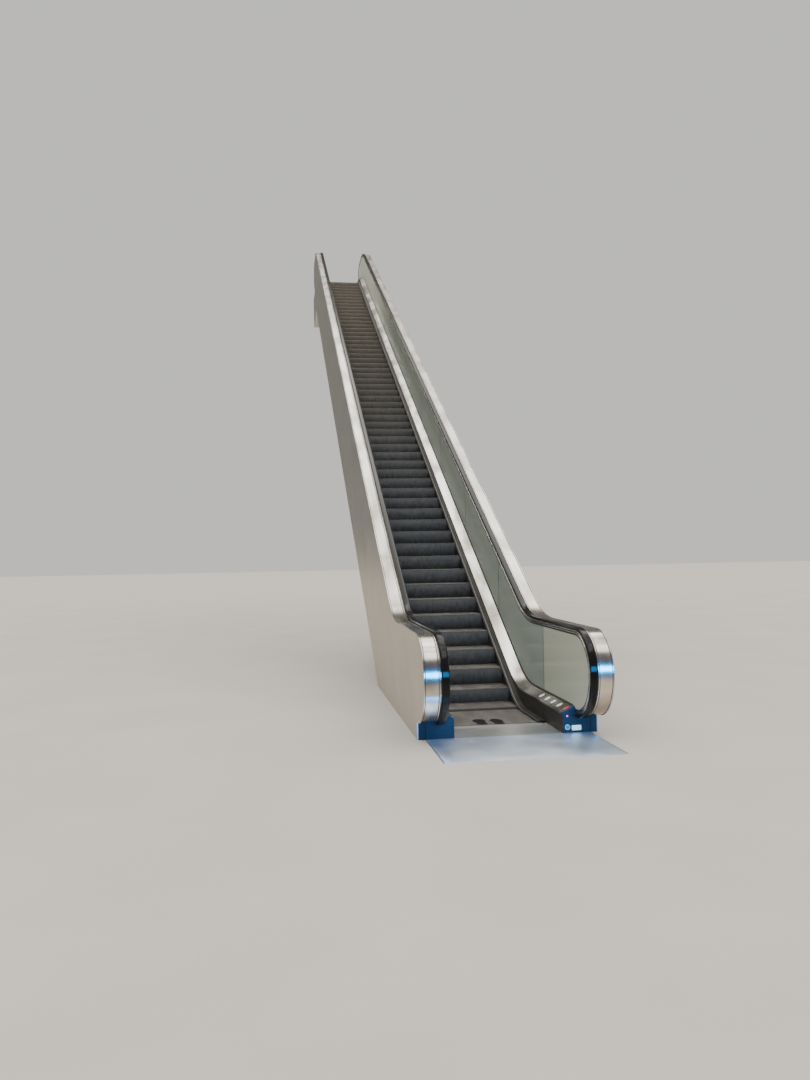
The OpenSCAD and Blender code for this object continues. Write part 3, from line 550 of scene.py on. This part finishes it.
for landing, *where in landings:
    comb_line, direction, floor_height = where
    tooth = cut_plate("tooth", toward(*where, tooth_shape), -tooth_width / 2, tooth_width / 2)
    in_a_row(tooth, cleat_count - 1)
    parts = [tooth]
    for number in range(comb_segments):
        left = (number - comb_segments / 2) * segment_width + comb_gap / 2
        right = left + segment_width - comb_gap
        parts.append(cut_plate("segment", toward(*where, segment_shape), left, right))
        finish_edges(parts[-1], 0.0005, 1)
    hand_over(joined("comb_" + landing, parts), "comb_plate", finish=comb_finish)
    plate = cut_plate("plate", toward(*where, plate_shape), -recess, recess)
    wing = cut_plate("wing", toward(*where, wing_shape), recess, kick_panel_x)
    both_sides(wing)
    hand_over(joined("comb_plate_" + landing + "_dressed", [plate, wing]), "comb_plate",
              "comb_plate_" + landing, finish=plate_finish)
    screws = []
    for number in range(2 * comb_segments):
        bpy.ops.mesh.primitive_cylinder_add(
            vertices=16, radius=screw_radius, depth=screw_head,
            location=((number + 0.5 - comb_segments) * segment_width / 2,
                      comb_line - direction * screws_back, floor_height + screw_proud - screw_head / 2))
        screws.append(bpy.context.object)
        bpy.ops.object.transform_apply(location=True)
    screws = joined("comb_screws_" + landing, screws)
    finish_edges(screws, 0.0006, 1)
    hand_over(screws, "comb_plate", finish=screw_finish)

# The floor plates: satin stainless covers over the pits, laid in a bright edging on a steel frame.
# Feet have left them scuffed, and the grain runs across the landing.
floor_plate_length, floor_plate_width, edging_width, edging_gap = 1.000, 1.716, 0.012, 0.001
satin_finish, satin_place = new_finish("floor_plate_satin", Metallic=1.0)
satin_lines = satin_place.noise((0.6, 0.0015, 0.05), 3.0)
satin_cloud = satin_place.noise((0.5, 0.35, 0.35), 3.0)
satin_scuffs = satin_place.noise((0.05, 0.12, 0.05), 5.0).step(0.55, 0.8)
# The steel is tinted blue, a painted reflection of the blue light from behind the camera; the cloud over it
# is random.
feed(satin_finish, Base_Color=satin_cloud.tint((0.76, 0.825, 0.93), (0.86, 0.92, 1.0)),
     Roughness=0.30 + satin_cloud * 0.18 + satin_scuffs * 0.12, Bump=(satin_lines, 0.0002))
edging_finish = clouded("floor_edging", (0.2, 0.2, 0.05), 3.0, (0.62, 0.62, 0.60), (0.80, 0.80, 0.78),
                        (0.22, 0.2), Metallic=1.0)
half = floor_plate_width / 2
inner = half - edging_width
lid = inner - edging_gap
for landing, comb_line, direction, floor_height in landings:
    open_end = comb_line - direction * comb_plate_length
    kerb = open_end - direction * floor_plate_length
    bar = kerb + direction * edging_width
    lid_end = bar + direction * edging_gap
    plate = cut_plate("floor_plate_" + landing + "_dressed", [
        (-lid, lid_end), (lid, lid_end), (lid, open_end), (-lid, open_end)],
        floor_height - plate_thickness, floor_height, "Z")
    finish_edges(plate, 0.0012, 2)
    hand_over(plate, "floor_plate", "floor_plate_" + landing, finish=satin_finish)
    edging = cut_plate("floor_edging_" + landing, [
        (-half, kerb), (half, kerb), (half, open_end), (inner, open_end),
        (inner, bar), (-inner, bar), (-inner, open_end), (-half, open_end)],
        floor_height - plate_thickness, floor_height, "Z")
    finish_edges(edging, 0.001, 1)
    hand_over(edging, "floor_plate", finish=edging_finish)

# The skirts: black coated panels beside the steps, folded into a ledge and a kick panel, with a
# brush strip in a bright holder along each to keep feet off the gap.
brush_end = 0.040


def dress(material, *nodes):
    """Gives these nodes' own meshes from the CAD a finish."""
    for node in nodes:
        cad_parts[node].data.materials.clear()
        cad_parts[node].data.materials.append(material)


def sweep(name, section, start, moves):
    """Draws a section of (x, height) points along straights and bends. It starts at (y, z, tilt);
    a move is (dy, dz), or (centre y, centre z, degrees, steps) with upward turns positive."""
    y, z, tilt = start
    back, up = math.sin(math.radians(tilt)), math.cos(math.radians(tilt))
    piece = outline(name, [(x, y - back * height, z + up * height) for x, height in section], False)
    for move in moves:
        if len(move) == 2:
            bpy.ops.mesh.extrude_region_move(TRANSFORM_OT_translate={"value": (0, *move)})
        else:
            centre_y, centre_z, degrees, steps = move
            bpy.ops.mesh.spin(steps=steps, angle=math.radians(abs(degrees)), center=(0, centre_y, centre_z),
                              axis=(-1 if degrees > 0 else 1, 0, 0))
    bpy.ops.mesh.select_all(action="SELECT")
    bpy.ops.mesh.fill_holes(sides=0)
    outwards()
    return piece


def up_the_incline(line, first_y, last_y):
    """The moves along a line from the lower landing, over both bends, to the upper landing."""
    low_y, low_z, high_y, high_z, low_r, high_r = line
    slope = (high_y - low_y) / math.cos(incline) - (low_r + high_r) * bend_share
    return [(low_y - low_r * bend_share - first_y, 0),
            (low_y - low_r * bend_share, low_z + low_r, 30, 16),
            (slope * math.cos(incline), slope * math.sin(incline)),
            (high_y + high_r * bend_share, high_z - high_r, -30, 16),
            (last_y - high_y - high_r * bend_share, 0)]


def from_comb_to_comb(name, section, line, inset):
    """Sweeps a section along a line, and stops this far inside the combs at both ends."""
    return sweep(name, section, (inset, line[1], 0), up_the_incline(line, inset, upper_comb - inset))


def millimetres(*points):
    return [(x / 1000, height / 1000) for x, height in points]


def trimmed(piece, smooth=35):
    """Adds the piece's twin on the other side and shades both smooth up to an angle."""
    both_sides(piece)
    finish_edges(piece, 0, smooth=smooth)
    return piece


skirt_finish, skirt_place = new_finish("skirt_coating", Specular_IOR_Level=0.22)
skirt_rub = skirt_place.noise((0.2, 0.5, 0.02), 4.0, incline).step(0.45, 0.75)
skirt_cloud = skirt_place.noise((0.6, 0.6, 0.6), 3.0)
feed(skirt_finish, Base_Color=skirt_rub.tint((0.024, 0.022, 0.019), (0.050, 0.046, 0.040)),
     Roughness=0.36 + skirt_cloud * 0.22)
dress(skirt_finish, "skirts_lower", "skirts_incline", "skirts_upper")
brush_finish, brush_place = new_finish("brush_bristles", Roughness=0.75)
bristles = brush_place.noise((0.02, 0.0006, 0.02), 2.0)
feed(brush_finish, Base_Color=bristles.tint((0.006, 0.006, 0.006), (0.05, 0.05, 0.05)),
     Bump=(bristles, 0.002))
holder_finish = clouded("brush_holder", (0.05, 0.3, 0.05), 3.0, (0.12, 0.118, 0.11), (0.25, 0.245, 0.23),
                        (0.28, 0.2), Metallic=1.0)
bristle_rows = from_comb_to_comb("brush_bristle_rows", millimetres(
    (498, 21), (480.5, 19), (480, 15), (498, 13)), nose_line, brush_end)
holders = from_comb_to_comb("brush_holders", millimetres(
    (504, 24), (501, 23.7), (498, 22), (496.3, 19), (496, 17), (496.3, 15), (498, 12), (501, 10.3),
    (504, 10)), nose_line, brush_end)
hand_over(trimmed(bristle_rows), "brush", "skirt_brushes", finish=brush_finish)
hand_over(trimmed(holders), "brush", finish=holder_finish)

# The inner decks: folded stainless covers, brushed along their length, that slope from the kick
# panel up to the glass, in lengths that butt at the glass joints, with a rubber seal at the glass.
balustrade_lift = 0.150
deck_height, deck_width, deck_climb = 0.200, 0.138, 0.065
cover_front, cover_back = 0.560, 0.500
first_joint, lengths, joint_gap = 2.490, 8, 0.004
last_joint = upper_comb - first_joint
joint_step = (last_joint - first_joint) / lengths


def balustrade_line(height):
    """The line at this height over both floors, whose bends begin later than those of the steps."""
    corner = comb_to_corner + balustrade_lift / math.tan(incline)
    return [corner, lower_floor + height, corner + travel, upper_floor + height, 1.3, 1.5]


def brushed(name, dark, light, rough, grain=(0.0016, 0.5, 0.5)):
    """Stainless steel with hairlines, drawn out along its run where the grain is coarse."""
    material, place = new_finish(name, Metallic=1.0)
    hairs = place.noise(grain, 3.0)
    cloud = place.noise((0.3, 0.8, 0.3), 2.5, incline)
    feed(material, Base_Color=(hairs * 0.25 + cloud * 0.75).step(0.36, 0.64).tint(dark, light),
         Roughness=rough - 0.05 + cloud * 0.10 + hairs * 0.06, Bump=(hairs, 0.00003))
    return material


def in_lengths(name, section, line, first_y, last_y, newel=None):
    """Sweeps a section in butted lengths, with the outer two carried over the bends and newels."""
    low_y, low_z, high_y, high_z, low_r, high_r = line
    bend_end = low_y - low_r * bend_share + low_r * math.sin(incline)
    bend_start = high_y + high_r * bend_share - high_r * math.sin(incline)
    moves = up_the_incline(line, first_y, last_y)
    start, over_lower, over_upper = (first_y, low_z, 0), [], []
    if newel:
        radius, tail = newel
        start = (first_y + tail, low_z - 2 * radius, 180)
        over_lower = [(-tail, 0), (first_y, low_z - radius, -180, 40)]
        over_upper = [(last_y, high_z - radius, -180, 40), (-tail, 0)]

    def on_slope(y):
        return (y, low_z + (y - low_y) * math.tan(incline), 30)

    def climb(y_from, y_to):
        return (y_to - y_from, (y_to - y_from) * math.tan(incline))

    pieces = [sweep(name, section, start,
                    over_lower + moves[:2] + [climb(bend_end, first_joint - joint_gap)]),
              sweep(name, section, on_slope(last_joint),
                    [climb(last_joint, bend_start)] + moves[3:] + over_upper)]
    for number in range(lengths):
        y = first_joint + number * joint_step
        pieces.append(sweep(name, section, on_slope(y), [climb(y, y + joint_step - joint_gap)]))
    return joined(name, pieces)


deck_line = balustrade_line(deck_height)
deck_finish = brushed("inner_deck_stainless", (0.33, 0.315, 0.280), (0.90, 0.885, 0.850), 0.17)
seal_finish = clouded("black_seal", (0.05, 0.2, 0.05), 3.0, (0.008, 0.008, 0.008), (0.030, 0.030, 0.029),
                      Roughness=0.55)
inner_decks = in_lengths("inner_decks", millimetres(
    (562, -12), (562, -2), (562.6, 0.6), (564, 1.8), (690, 60.2), (700, 65), (700, 61), (566.5, -1.5),
    (566, -12)), deck_line, -cover_back, upper_comb + cover_back)
deck_seals = from_comb_to_comb("deck_seals", millimetres(
    (686, 58.5), (700, 65.0), (700, 76), (696, 76), (686, 62)), deck_line, -cover_back)
hand_over(trimmed(inner_decks), "stainless", "inner_decks_lower", "inner_decks_incline", "inner_decks_upper",
          finish=deck_finish)
hand_over(trimmed(deck_seals), "inlet", finish=seal_finish)

# The signs: round enamelled discs, four white and one red, stuck on the inner decks at each landing.
# Their printing is left off.
disc_x, disc_radius, disc_thickness = 0.630, 0.036, 0.0008
white_places, red_place = (0.350, 0.145, -0.060, -0.265), -0.470
deck_slope = math.atan2(deck_climb, deck_width)
disc_height = deck_height + (disc_x - kick_panel_x) * math.tan(deck_slope) + disc_thickness / 2
white_finish = clouded("disc_white", (0.02, 0.02, 0.02), 4.0, (0.62, 0.62, 0.60), (0.82, 0.82, 0.80),
                       Roughness=0.35)
red_finish = clouded("disc_red", (0.02, 0.02, 0.02), 4.0, (0.42, 0.05, 0.03), (0.55, 0.09, 0.06),
                     Roughness=0.35)
for name, places, finish in (("sign_discs_white", white_places, white_finish),
                             ("sign_discs_red", [red_place], red_finish)):
    discs = []
    for landing, comb_line, direction, floor_height in landings:
        for y in places:
            clean_start()
            bpy.ops.mesh.primitive_cylinder_add(
                vertices=40, radius=disc_radius, depth=disc_thickness, rotation=(0, -deck_slope, 0),
                location=(disc_x, comb_line + direction * y, floor_height + disc_height))
            discs.append(bpy.context.object)
            bpy.ops.object.transform_apply(location=True, rotation=True)
            both_sides(discs[-1])
            finish_edges(discs[-1], 0.0003, 1)
    hand_over(joined(name, discs), "inlet", finish=finish)

# The balustrade glass: toughened panes, tinted grey green and backed, that stand in the decks and
# carry the handrail guide, with vertical joints between them. The upper ones catch more light.
end_joint = 0.490
backing_edge = end_joint - 0.0015
glass_finish, glass_place = new_finish("tinted_glass")
glass_along = glass_place.along("Y")
glass_cloud = glass_place.noise((1.2, 1.6, 0.8), 2.0)
glass_smears = glass_place.noise((0.2, 0.25, 0.05), 5.0).step(0.55, 0.85)
low_panes = glass_cloud.tint((0.225, 0.262, 0.228), (0.275, 0.308, 0.262))
panes = glass_place.along("Z").step(7.3, 10.6).tint(low_panes, (0.80, 0.83, 0.71))
end_pane = glass_along.step(0.44, backing_edge).tint((0.375, 0.390, 0.310), (0.325, 0.345, 0.290))
feed(glass_finish, Base_Color=glass_along.step(backing_edge, backing_edge + 0.001).tint(end_pane, panes),
     Roughness=0.05 + glass_smears * 0.12)
dress(glass_finish, "glass_lower", "glass_incline", "glass_upper")

# The glass joints: black rubber profiles pressed into the gaps between the panes. They stand upright
# from the inner deck to the handrail guide.
joint_ys = [end_joint] + [first_joint + i * joint_step for i in range(lengths + 1)] + [upper_comb - end_joint]
joint_width, pane_inner, pane_outer = 0.011, 0.6990, 0.7100
joint_foot, joint_height = 0.243, 0.745
seals = []
for y in joint_ys:
    left, right = y - joint_gap / 2 - joint_width / 2, y - joint_gap / 2 + joint_width / 2
    climbed = (y - joint_gap / 2 - deck_line[0]) * math.tan(incline)
    low = lower_floor + joint_foot + min(rise, max(0, climbed))
    high = low + joint_height
    seals.append(cut_plate("joint_seal", [(left, low), (right, low), (right, high), (left, high)],
                           pane_inner, pane_outer))
glass_joints = joined("glass_joint_seals", seals)
both_sides(glass_joints)
hand_over(glass_joints, "inlet", finish=seal_finish)

# The handrail guides: a drawn stainless channel clamped on the glass, with two round beads along its
# face and a black seal between them, and a slim head that the rubber handrail wraps and slides on.
rail_height = 1.0825
rail_line = balustrade_line(rail_height)
newel_radius, newel_reach = 0.4625, 0.600
lower_newel, upper_newel = -newel_reach, upper_comb + newel_reach
guide_face, bead_radius, bead_depth = 0.7030, 0.0072, 0.006
guide_tail = newel_reach - cover_front - 0.015


def round_the_newels(name, section, tail):
    """Sweeps a member that comes out of one base, goes over both newels and into the other."""
    return sweep(name, section, (lower_newel + tail, rail_line[1] - 2 * newel_radius, 180),
                 [(-tail, 0), (lower_newel, rail_line[1] - newel_radius, -180, 48)]
                 + up_the_incline(rail_line, lower_newel, upper_newel)
                 + [(upper_newel, rail_line[3] - newel_radius, -180, 48), (-tail, 0)])


def bead(middle):
    """Half-round points that stand out towards the steps from the guide's inner face."""
    turns = [math.radians(90 - 180 * i / 6) for i in range(7)]
    return [(guide_face - bead_depth * math.cos(a), middle + bead_radius * math.sin(a)) for a in turns]


guide_finish = brushed("guide_stainless", (0.52, 0.505, 0.465), (0.90, 0.88, 0.835), 0.18)
guides = round_the_newels(
    "handrail_guide_channels", bead(-0.0456) + millimetres((704, -53.5), (704, -60.3))
    + bead(-0.0682) + millimetres(
        (704, -77), (704, -84.6), (765, -84.6), (765, -38.3), (747, -38.3), (747, -29.7), (754, -29.7),
        (754, -20.7), (706, -20.7), (706, -29.7), (713, -29.7), (713, -38.3)), guide_tail)
guide_seals = joined("guide_seals", [
    round_the_newels("groove_seal", millimetres(
        (700.5, -53.2), (704.2, -53.2), (704.2, -60.6), (700.5, -60.6)), guide_tail),
    round_the_newels("glass_seal", millimetres(
        (698.2, -76), (704.2, -76), (704.2, -86), (698.2, -87)), guide_tail)])
hand_over(trimmed(guides), "guide_steel", "handrail_guides_lower", "handrail_guides_incline",
          "handrail_guides_upper", finish=guide_finish)
hand_over(trimmed(guide_seals), "inlet", finish=seal_finish)

# The handrails: one endless loop of black rubber on each side, moulded round as a C over its guide,
# polished by hands on top, which dips into the bases at both ends.
handrail_tail = newel_reach - cover_back + 0.020
handrail_turn = [(math.cos(math.radians(a)), math.sin(math.radians(a))) for a in range(-90, 91, 15)]
handrails = round_the_newels("handrail_belts", millimetres(
    *[(751 + 19 * c, -19 + 19 * s) for c, s in handrail_turn],
    (740, 0.0), (720, 0.0),
    *[(709 - 19 * c, -19 + 19 * s) for c, s in reversed(handrail_turn)],
    (712, -38), (712, -30), (705, -30), (705, -16), (755, -16), (755, -30), (748, -30), (748, -38)),
    handrail_tail)
rubber_finish, rubber_place = new_finish("handrail_rubber", Specular_IOR_Level=0.21)
rubber_cloud = rubber_place.noise((0.25, 0.8, 0.5), 2.0, incline)
feed(rubber_finish, Base_Color=rubber_cloud.tint((0.004, 0.004, 0.005), (0.012, 0.012, 0.013)),
     Roughness=0.07 + rubber_cloud * 0.08)
hand_over(trimmed(handrails, 40), "handrail", "handrails_lower", "handrails_incline", "handrails_upper",
          finish=rubber_finish)

# The outer decks: stainless sheet with a rolled bead and a black line along each edge, brushed along
# its run, that covers the balustrade outside the handrail and wraps each newel as a drum.
strip_tail = newel_reach - cover_front
line_lefts, line_width = (790.2, 919.8), 6
strip_finish = brushed("outer_deck_stainless", (0.47, 0.450, 0.415), (0.90, 0.880, 0.835), 0.16)
outer_decks = in_lengths("outer_deck_strips", millimetres(
    (776, -85), (776, -25), (776.7, -22.6), (778.6, -20.7), (781, -20), (785, -20), (787.6, -20.7),
    (789.4, -22.6), (790, -25), (926, -25), (926.6, -22.6), (928.4, -20.7), (931, -20), (935, -20),
    (937.4, -20.7), (939.3, -22.6), (940, -25), (940, -28), (779, -28), (779, -82), (765, -82), (765, -85)),
    rail_line, lower_newel, upper_newel, (newel_radius, strip_tail))
deck_lines = joined("outer_deck_lines", [round_the_newels("line", millimetres(
    (left, -24.7), (left + line_width, -24.7), (left + line_width, -25.1), (left, -25.1)), strip_tail)
    for left in line_lefts])
hand_over(trimmed(outer_decks, 30), "stainless", "outer_decks_lower", "outer_decks_incline",
          "outer_decks_upper", finish=strip_finish)
hand_over(trimmed(deck_lines, 30), "inlet", finish=seal_finish)

# The base covers: moulded navy fronts of the balustrade bases, made in two with a seam, and cut out
# for the handrail, which runs in through a black rubber collar.
cover_side_x, cover_glass_x, casing_inner_x = 0.568, 0.700, 0.928
seam_from, seam_to = 0.857, 0.860
cover_height, cover_crest = 0.250, 0.265
cover_shoulder = deck_height + math.tan(deck_slope) * (cover_side_x - kick_panel_x)
cover_feet = {"lower": 0.004, "upper": upper_floor - plate_thickness}
inlet_x, inlet_width, inlet_height, inlet_above_floor = 0.730, 0.096, 0.054, 0.1765
inlet_cuts = {"lower": (-0.05, 0.10), "upper": (-0.03, 0.02)}
collar_sunk, collar_proud, collar_wall, collar_depth = 0.030, 0.012, 0.006, 0.030


def stadium(centre_x, centre_z, width, height, count=12):
    """A slot outline with round ends, across the escalator."""
    ends = []
    for side in (1, -1):
        for i in range(count + 1):
            angle = math.radians(-90 + 180 * i / count)
            ends.append((centre_x + side * ((width - height) / 2 + height / 2 * math.cos(angle)),
                         centre_z + side * height / 2 * math.sin(angle)))
    return ends


navy_finish, navy_place = new_finish("cover_navy", Specular_IOR_Level=0.1)
navy_cloud = navy_place.noise((0.3, 0.3, 0.2), 3.0)
navy_scuffs = navy_place.noise((0.03, 0.03, 0.008), 5.0).step(0.6, 0.85)
navy_wear = navy_cloud * 0.7 + navy_scuffs * 0.3
feed(navy_finish, Base_Color=navy_wear.tint((0.0100, 0.0330, 0.0800), (0.021, 0.062, 0.135)),
     Roughness=0.30 + navy_cloud * 0.12 + navy_scuffs * 0.15)
for landing, comb_line, direction, floor_height in landings:
    base, top, front = cover_feet[landing], floor_height + cover_height, comb_line - direction * cover_front
    back = front + direction * (cover_front - cover_back)
    inlet = stadium(inlet_x, floor_height + inlet_above_floor, inlet_width, inlet_height)
    main = cut_plate("cover", [
        (cover_side_x, base), (seam_from, base), (seam_from, top), (cover_glass_x, top),
        (cover_glass_x, floor_height + cover_crest), (cover_side_x, floor_height + cover_shoulder)],
        front, back, "Y")
    cut_from, cut_to = inlet_cuts[landing]
    cutter = cut_plate("cutter", inlet, front + direction * cut_from, front + direction * cut_to, "Y")
    pick(main)
    opening = main.modifiers.new("opening", "BOOLEAN")
    opening.operation, opening.object, opening.solver = "DIFFERENCE", cutter, "EXACT"
    bpy.ops.object.modifier_apply(modifier=opening.name)
    bpy.data.objects.remove(cutter)
    rest = cut_plate("cover_rest", [
        (seam_to, base), (casing_inner_x, base), (casing_inner_x, top), (seam_to, top)],
        front, back, "Y")
    covers = joined("base_cover_" + landing + "_dressed", [main, rest])
    both_sides(covers)
    finish_edges(covers, 0.003, 3)
    hand_over(covers, "base_cover", "base_covers_" + landing, finish=navy_finish)
    collar = outline("inlet_collar_" + landing, [
        (x, front + direction * collar_sunk, z) for x, z in inlet], True)
    bpy.ops.mesh.extrude_region_move(
        TRANSFORM_OT_translate={"value": (0, -direction * (collar_sunk + collar_proud), 0)})
    bpy.ops.mesh.inset(thickness=collar_wall)
    bpy.ops.mesh.extrude_region_move(TRANSFORM_OT_translate={"value": (0, direction * collar_depth, 0)})
    outwards()
    both_sides(collar)
    finish_edges(collar, 0.002, 2)
    replaced = ["handrail_inlets"] if landing == "lower" else []
    hand_over(collar, "inlet", *replaced, finish=seal_finish)

# The controls: a key switch in a bright ring, a small lit window and a running light, set into the
# front of the right-hand base cover at each landing. The window's printing is left off.
switch_x, switch_height, light_x, light_height = 0.616, 0.056, 0.614, 0.170
window_x, window_height, window_half_width, window_half_height = 0.7105, 0.0475, 0.0495, 0.0255
window_proud, window_sunk = 0.002, 0.004
window_corners = ((-1, -0.8), (-0.9, -1), (0.9, -1), (1, -0.8), (1, 0.8), (0.9, 1), (-0.9, 1), (-1, 0.8))


def set_in(shape, place, radius, thickness):
    """A ring or a round cap that stands half out of the cover at this place."""
    clean_start()
    turned = {"location": place, "rotation": (math.radians(90), 0, 0)}
    if shape == "ring":
        bpy.ops.mesh.primitive_torus_add(major_radius=radius, minor_radius=thickness, major_segments=40,
                                         minor_segments=10, **turned)
    else:
        bpy.ops.mesh.primitive_cylinder_add(vertices=32, radius=radius, depth=2 * thickness, **turned)
    made = bpy.context.object
    bpy.ops.object.transform_apply(location=True, rotation=True)
    if shape == "ring":
        bpy.ops.object.shade_smooth_by_angle(angle=math.radians(60))
    else:
        finish_edges(made, thickness * 0.4, 2)
    return made


def lit(name, sizes, detail, colours, glow_colours, roughness, strength):
    """A lamp's lens or window, with a glow that varies a little over it."""
    material, place = new_finish(name, Roughness=roughness, Emission_Strength=strength)
    glow = place.noise(sizes, detail)
    feed(material, Base_Color=glow.tint(*colours), Emission_Color=glow.tint(*glow_colours))
    return material


ring_finish = clouded("switch_ring", (0.01, 0.01, 0.01), 3.0, (0.60, 0.62, 0.64), (0.82, 0.84, 0.86),
                      (0.2, 0.2), Metallic=1.0)
lock_finish = clouded("switch_face", (0.01, 0.01, 0.01), 3.0, (0.10, 0.22, 0.32), (0.16, 0.32, 0.44),
                      Roughness=0.4)
window_finish = lit("lit_window", (0.03, 0.02, 0.02), 2.0, ((0.50, 0.75, 0.82), (0.75, 0.92, 0.96)),
                    ((0.25, 0.62, 0.75), (0.60, 0.88, 0.95)), 0.2, 0.9)
lamp_finish = lit("running_light", (0.004, 0.004, 0.004), 1.0, ((0.7, 0.10, 0.5), (0.9, 0.3, 0.8)),
                  ((0.8, 0.10, 0.55), (1.0, 0.35, 0.85)), 0.3, 3.0)
for landing, comb_line, direction, floor_height in landings:
    front = comb_line - direction * cover_front
    switch = (direction * switch_x, front, floor_height + switch_height)
    ring = joined("switch_ring_" + landing, [set_in("ring", switch, 0.025, 0.0035)])
    lock = joined("switch_face_" + landing, [set_in("cap", switch, 0.0235, 0.002),
                                             set_in("cap", switch, 0.009, 0.004)])
    light = joined("running_light_" + landing, [
        set_in("cap", (direction * light_x, front, floor_height + light_height), 0.007, 0.003)])
    window = cut_plate("lit_window_" + landing, [
        (direction * (window_x + a * window_half_width),
         floor_height + window_height + b * window_half_height) for a, b in window_corners],
        front - direction * window_proud, front + direction * window_sunk, "Y")
    finish_edges(window, 0.001, 2)
    for part, finish in ((ring, ring_finish), (lock, lock_finish), (light, lamp_finish),
                         (window, window_finish)):
        hand_over(part, "base_cover", finish=finish)

# The casing: stainless panels on the sides and a painted soffit close the truss and the back of the
# balustrade, and painted steel frames carry the landings and the rollers' tracks.
dress(brushed("casing_stainless", (0.55, 0.55, 0.540), (0.61, 0.61, 0.597), 0.34, (0.5, 0.5, 0.0016)),
      "side_casings_lower", "side_casings_incline", "side_casings_upper")
dress(clouded("soffit_paint", (0.5, 0.8, 0.5), 4.0, (0.30, 0.31, 0.32), (0.38, 0.39, 0.40), (0.42, 0.15)),
      "soffit_incline", "soffit_upper", "end_plate_upper")
dress(clouded("frame_paint", (0.1, 0.15, 0.1), 4.0, (0.10, 0.11, 0.12), (0.17, 0.18, 0.19), (0.45, 0.2),
              Metallic=0.2),
      "landing_frame_lower", "landing_frame_upper", "tracks_incline", "tracks_upper", "bearing_angle_upper")

clean_start()
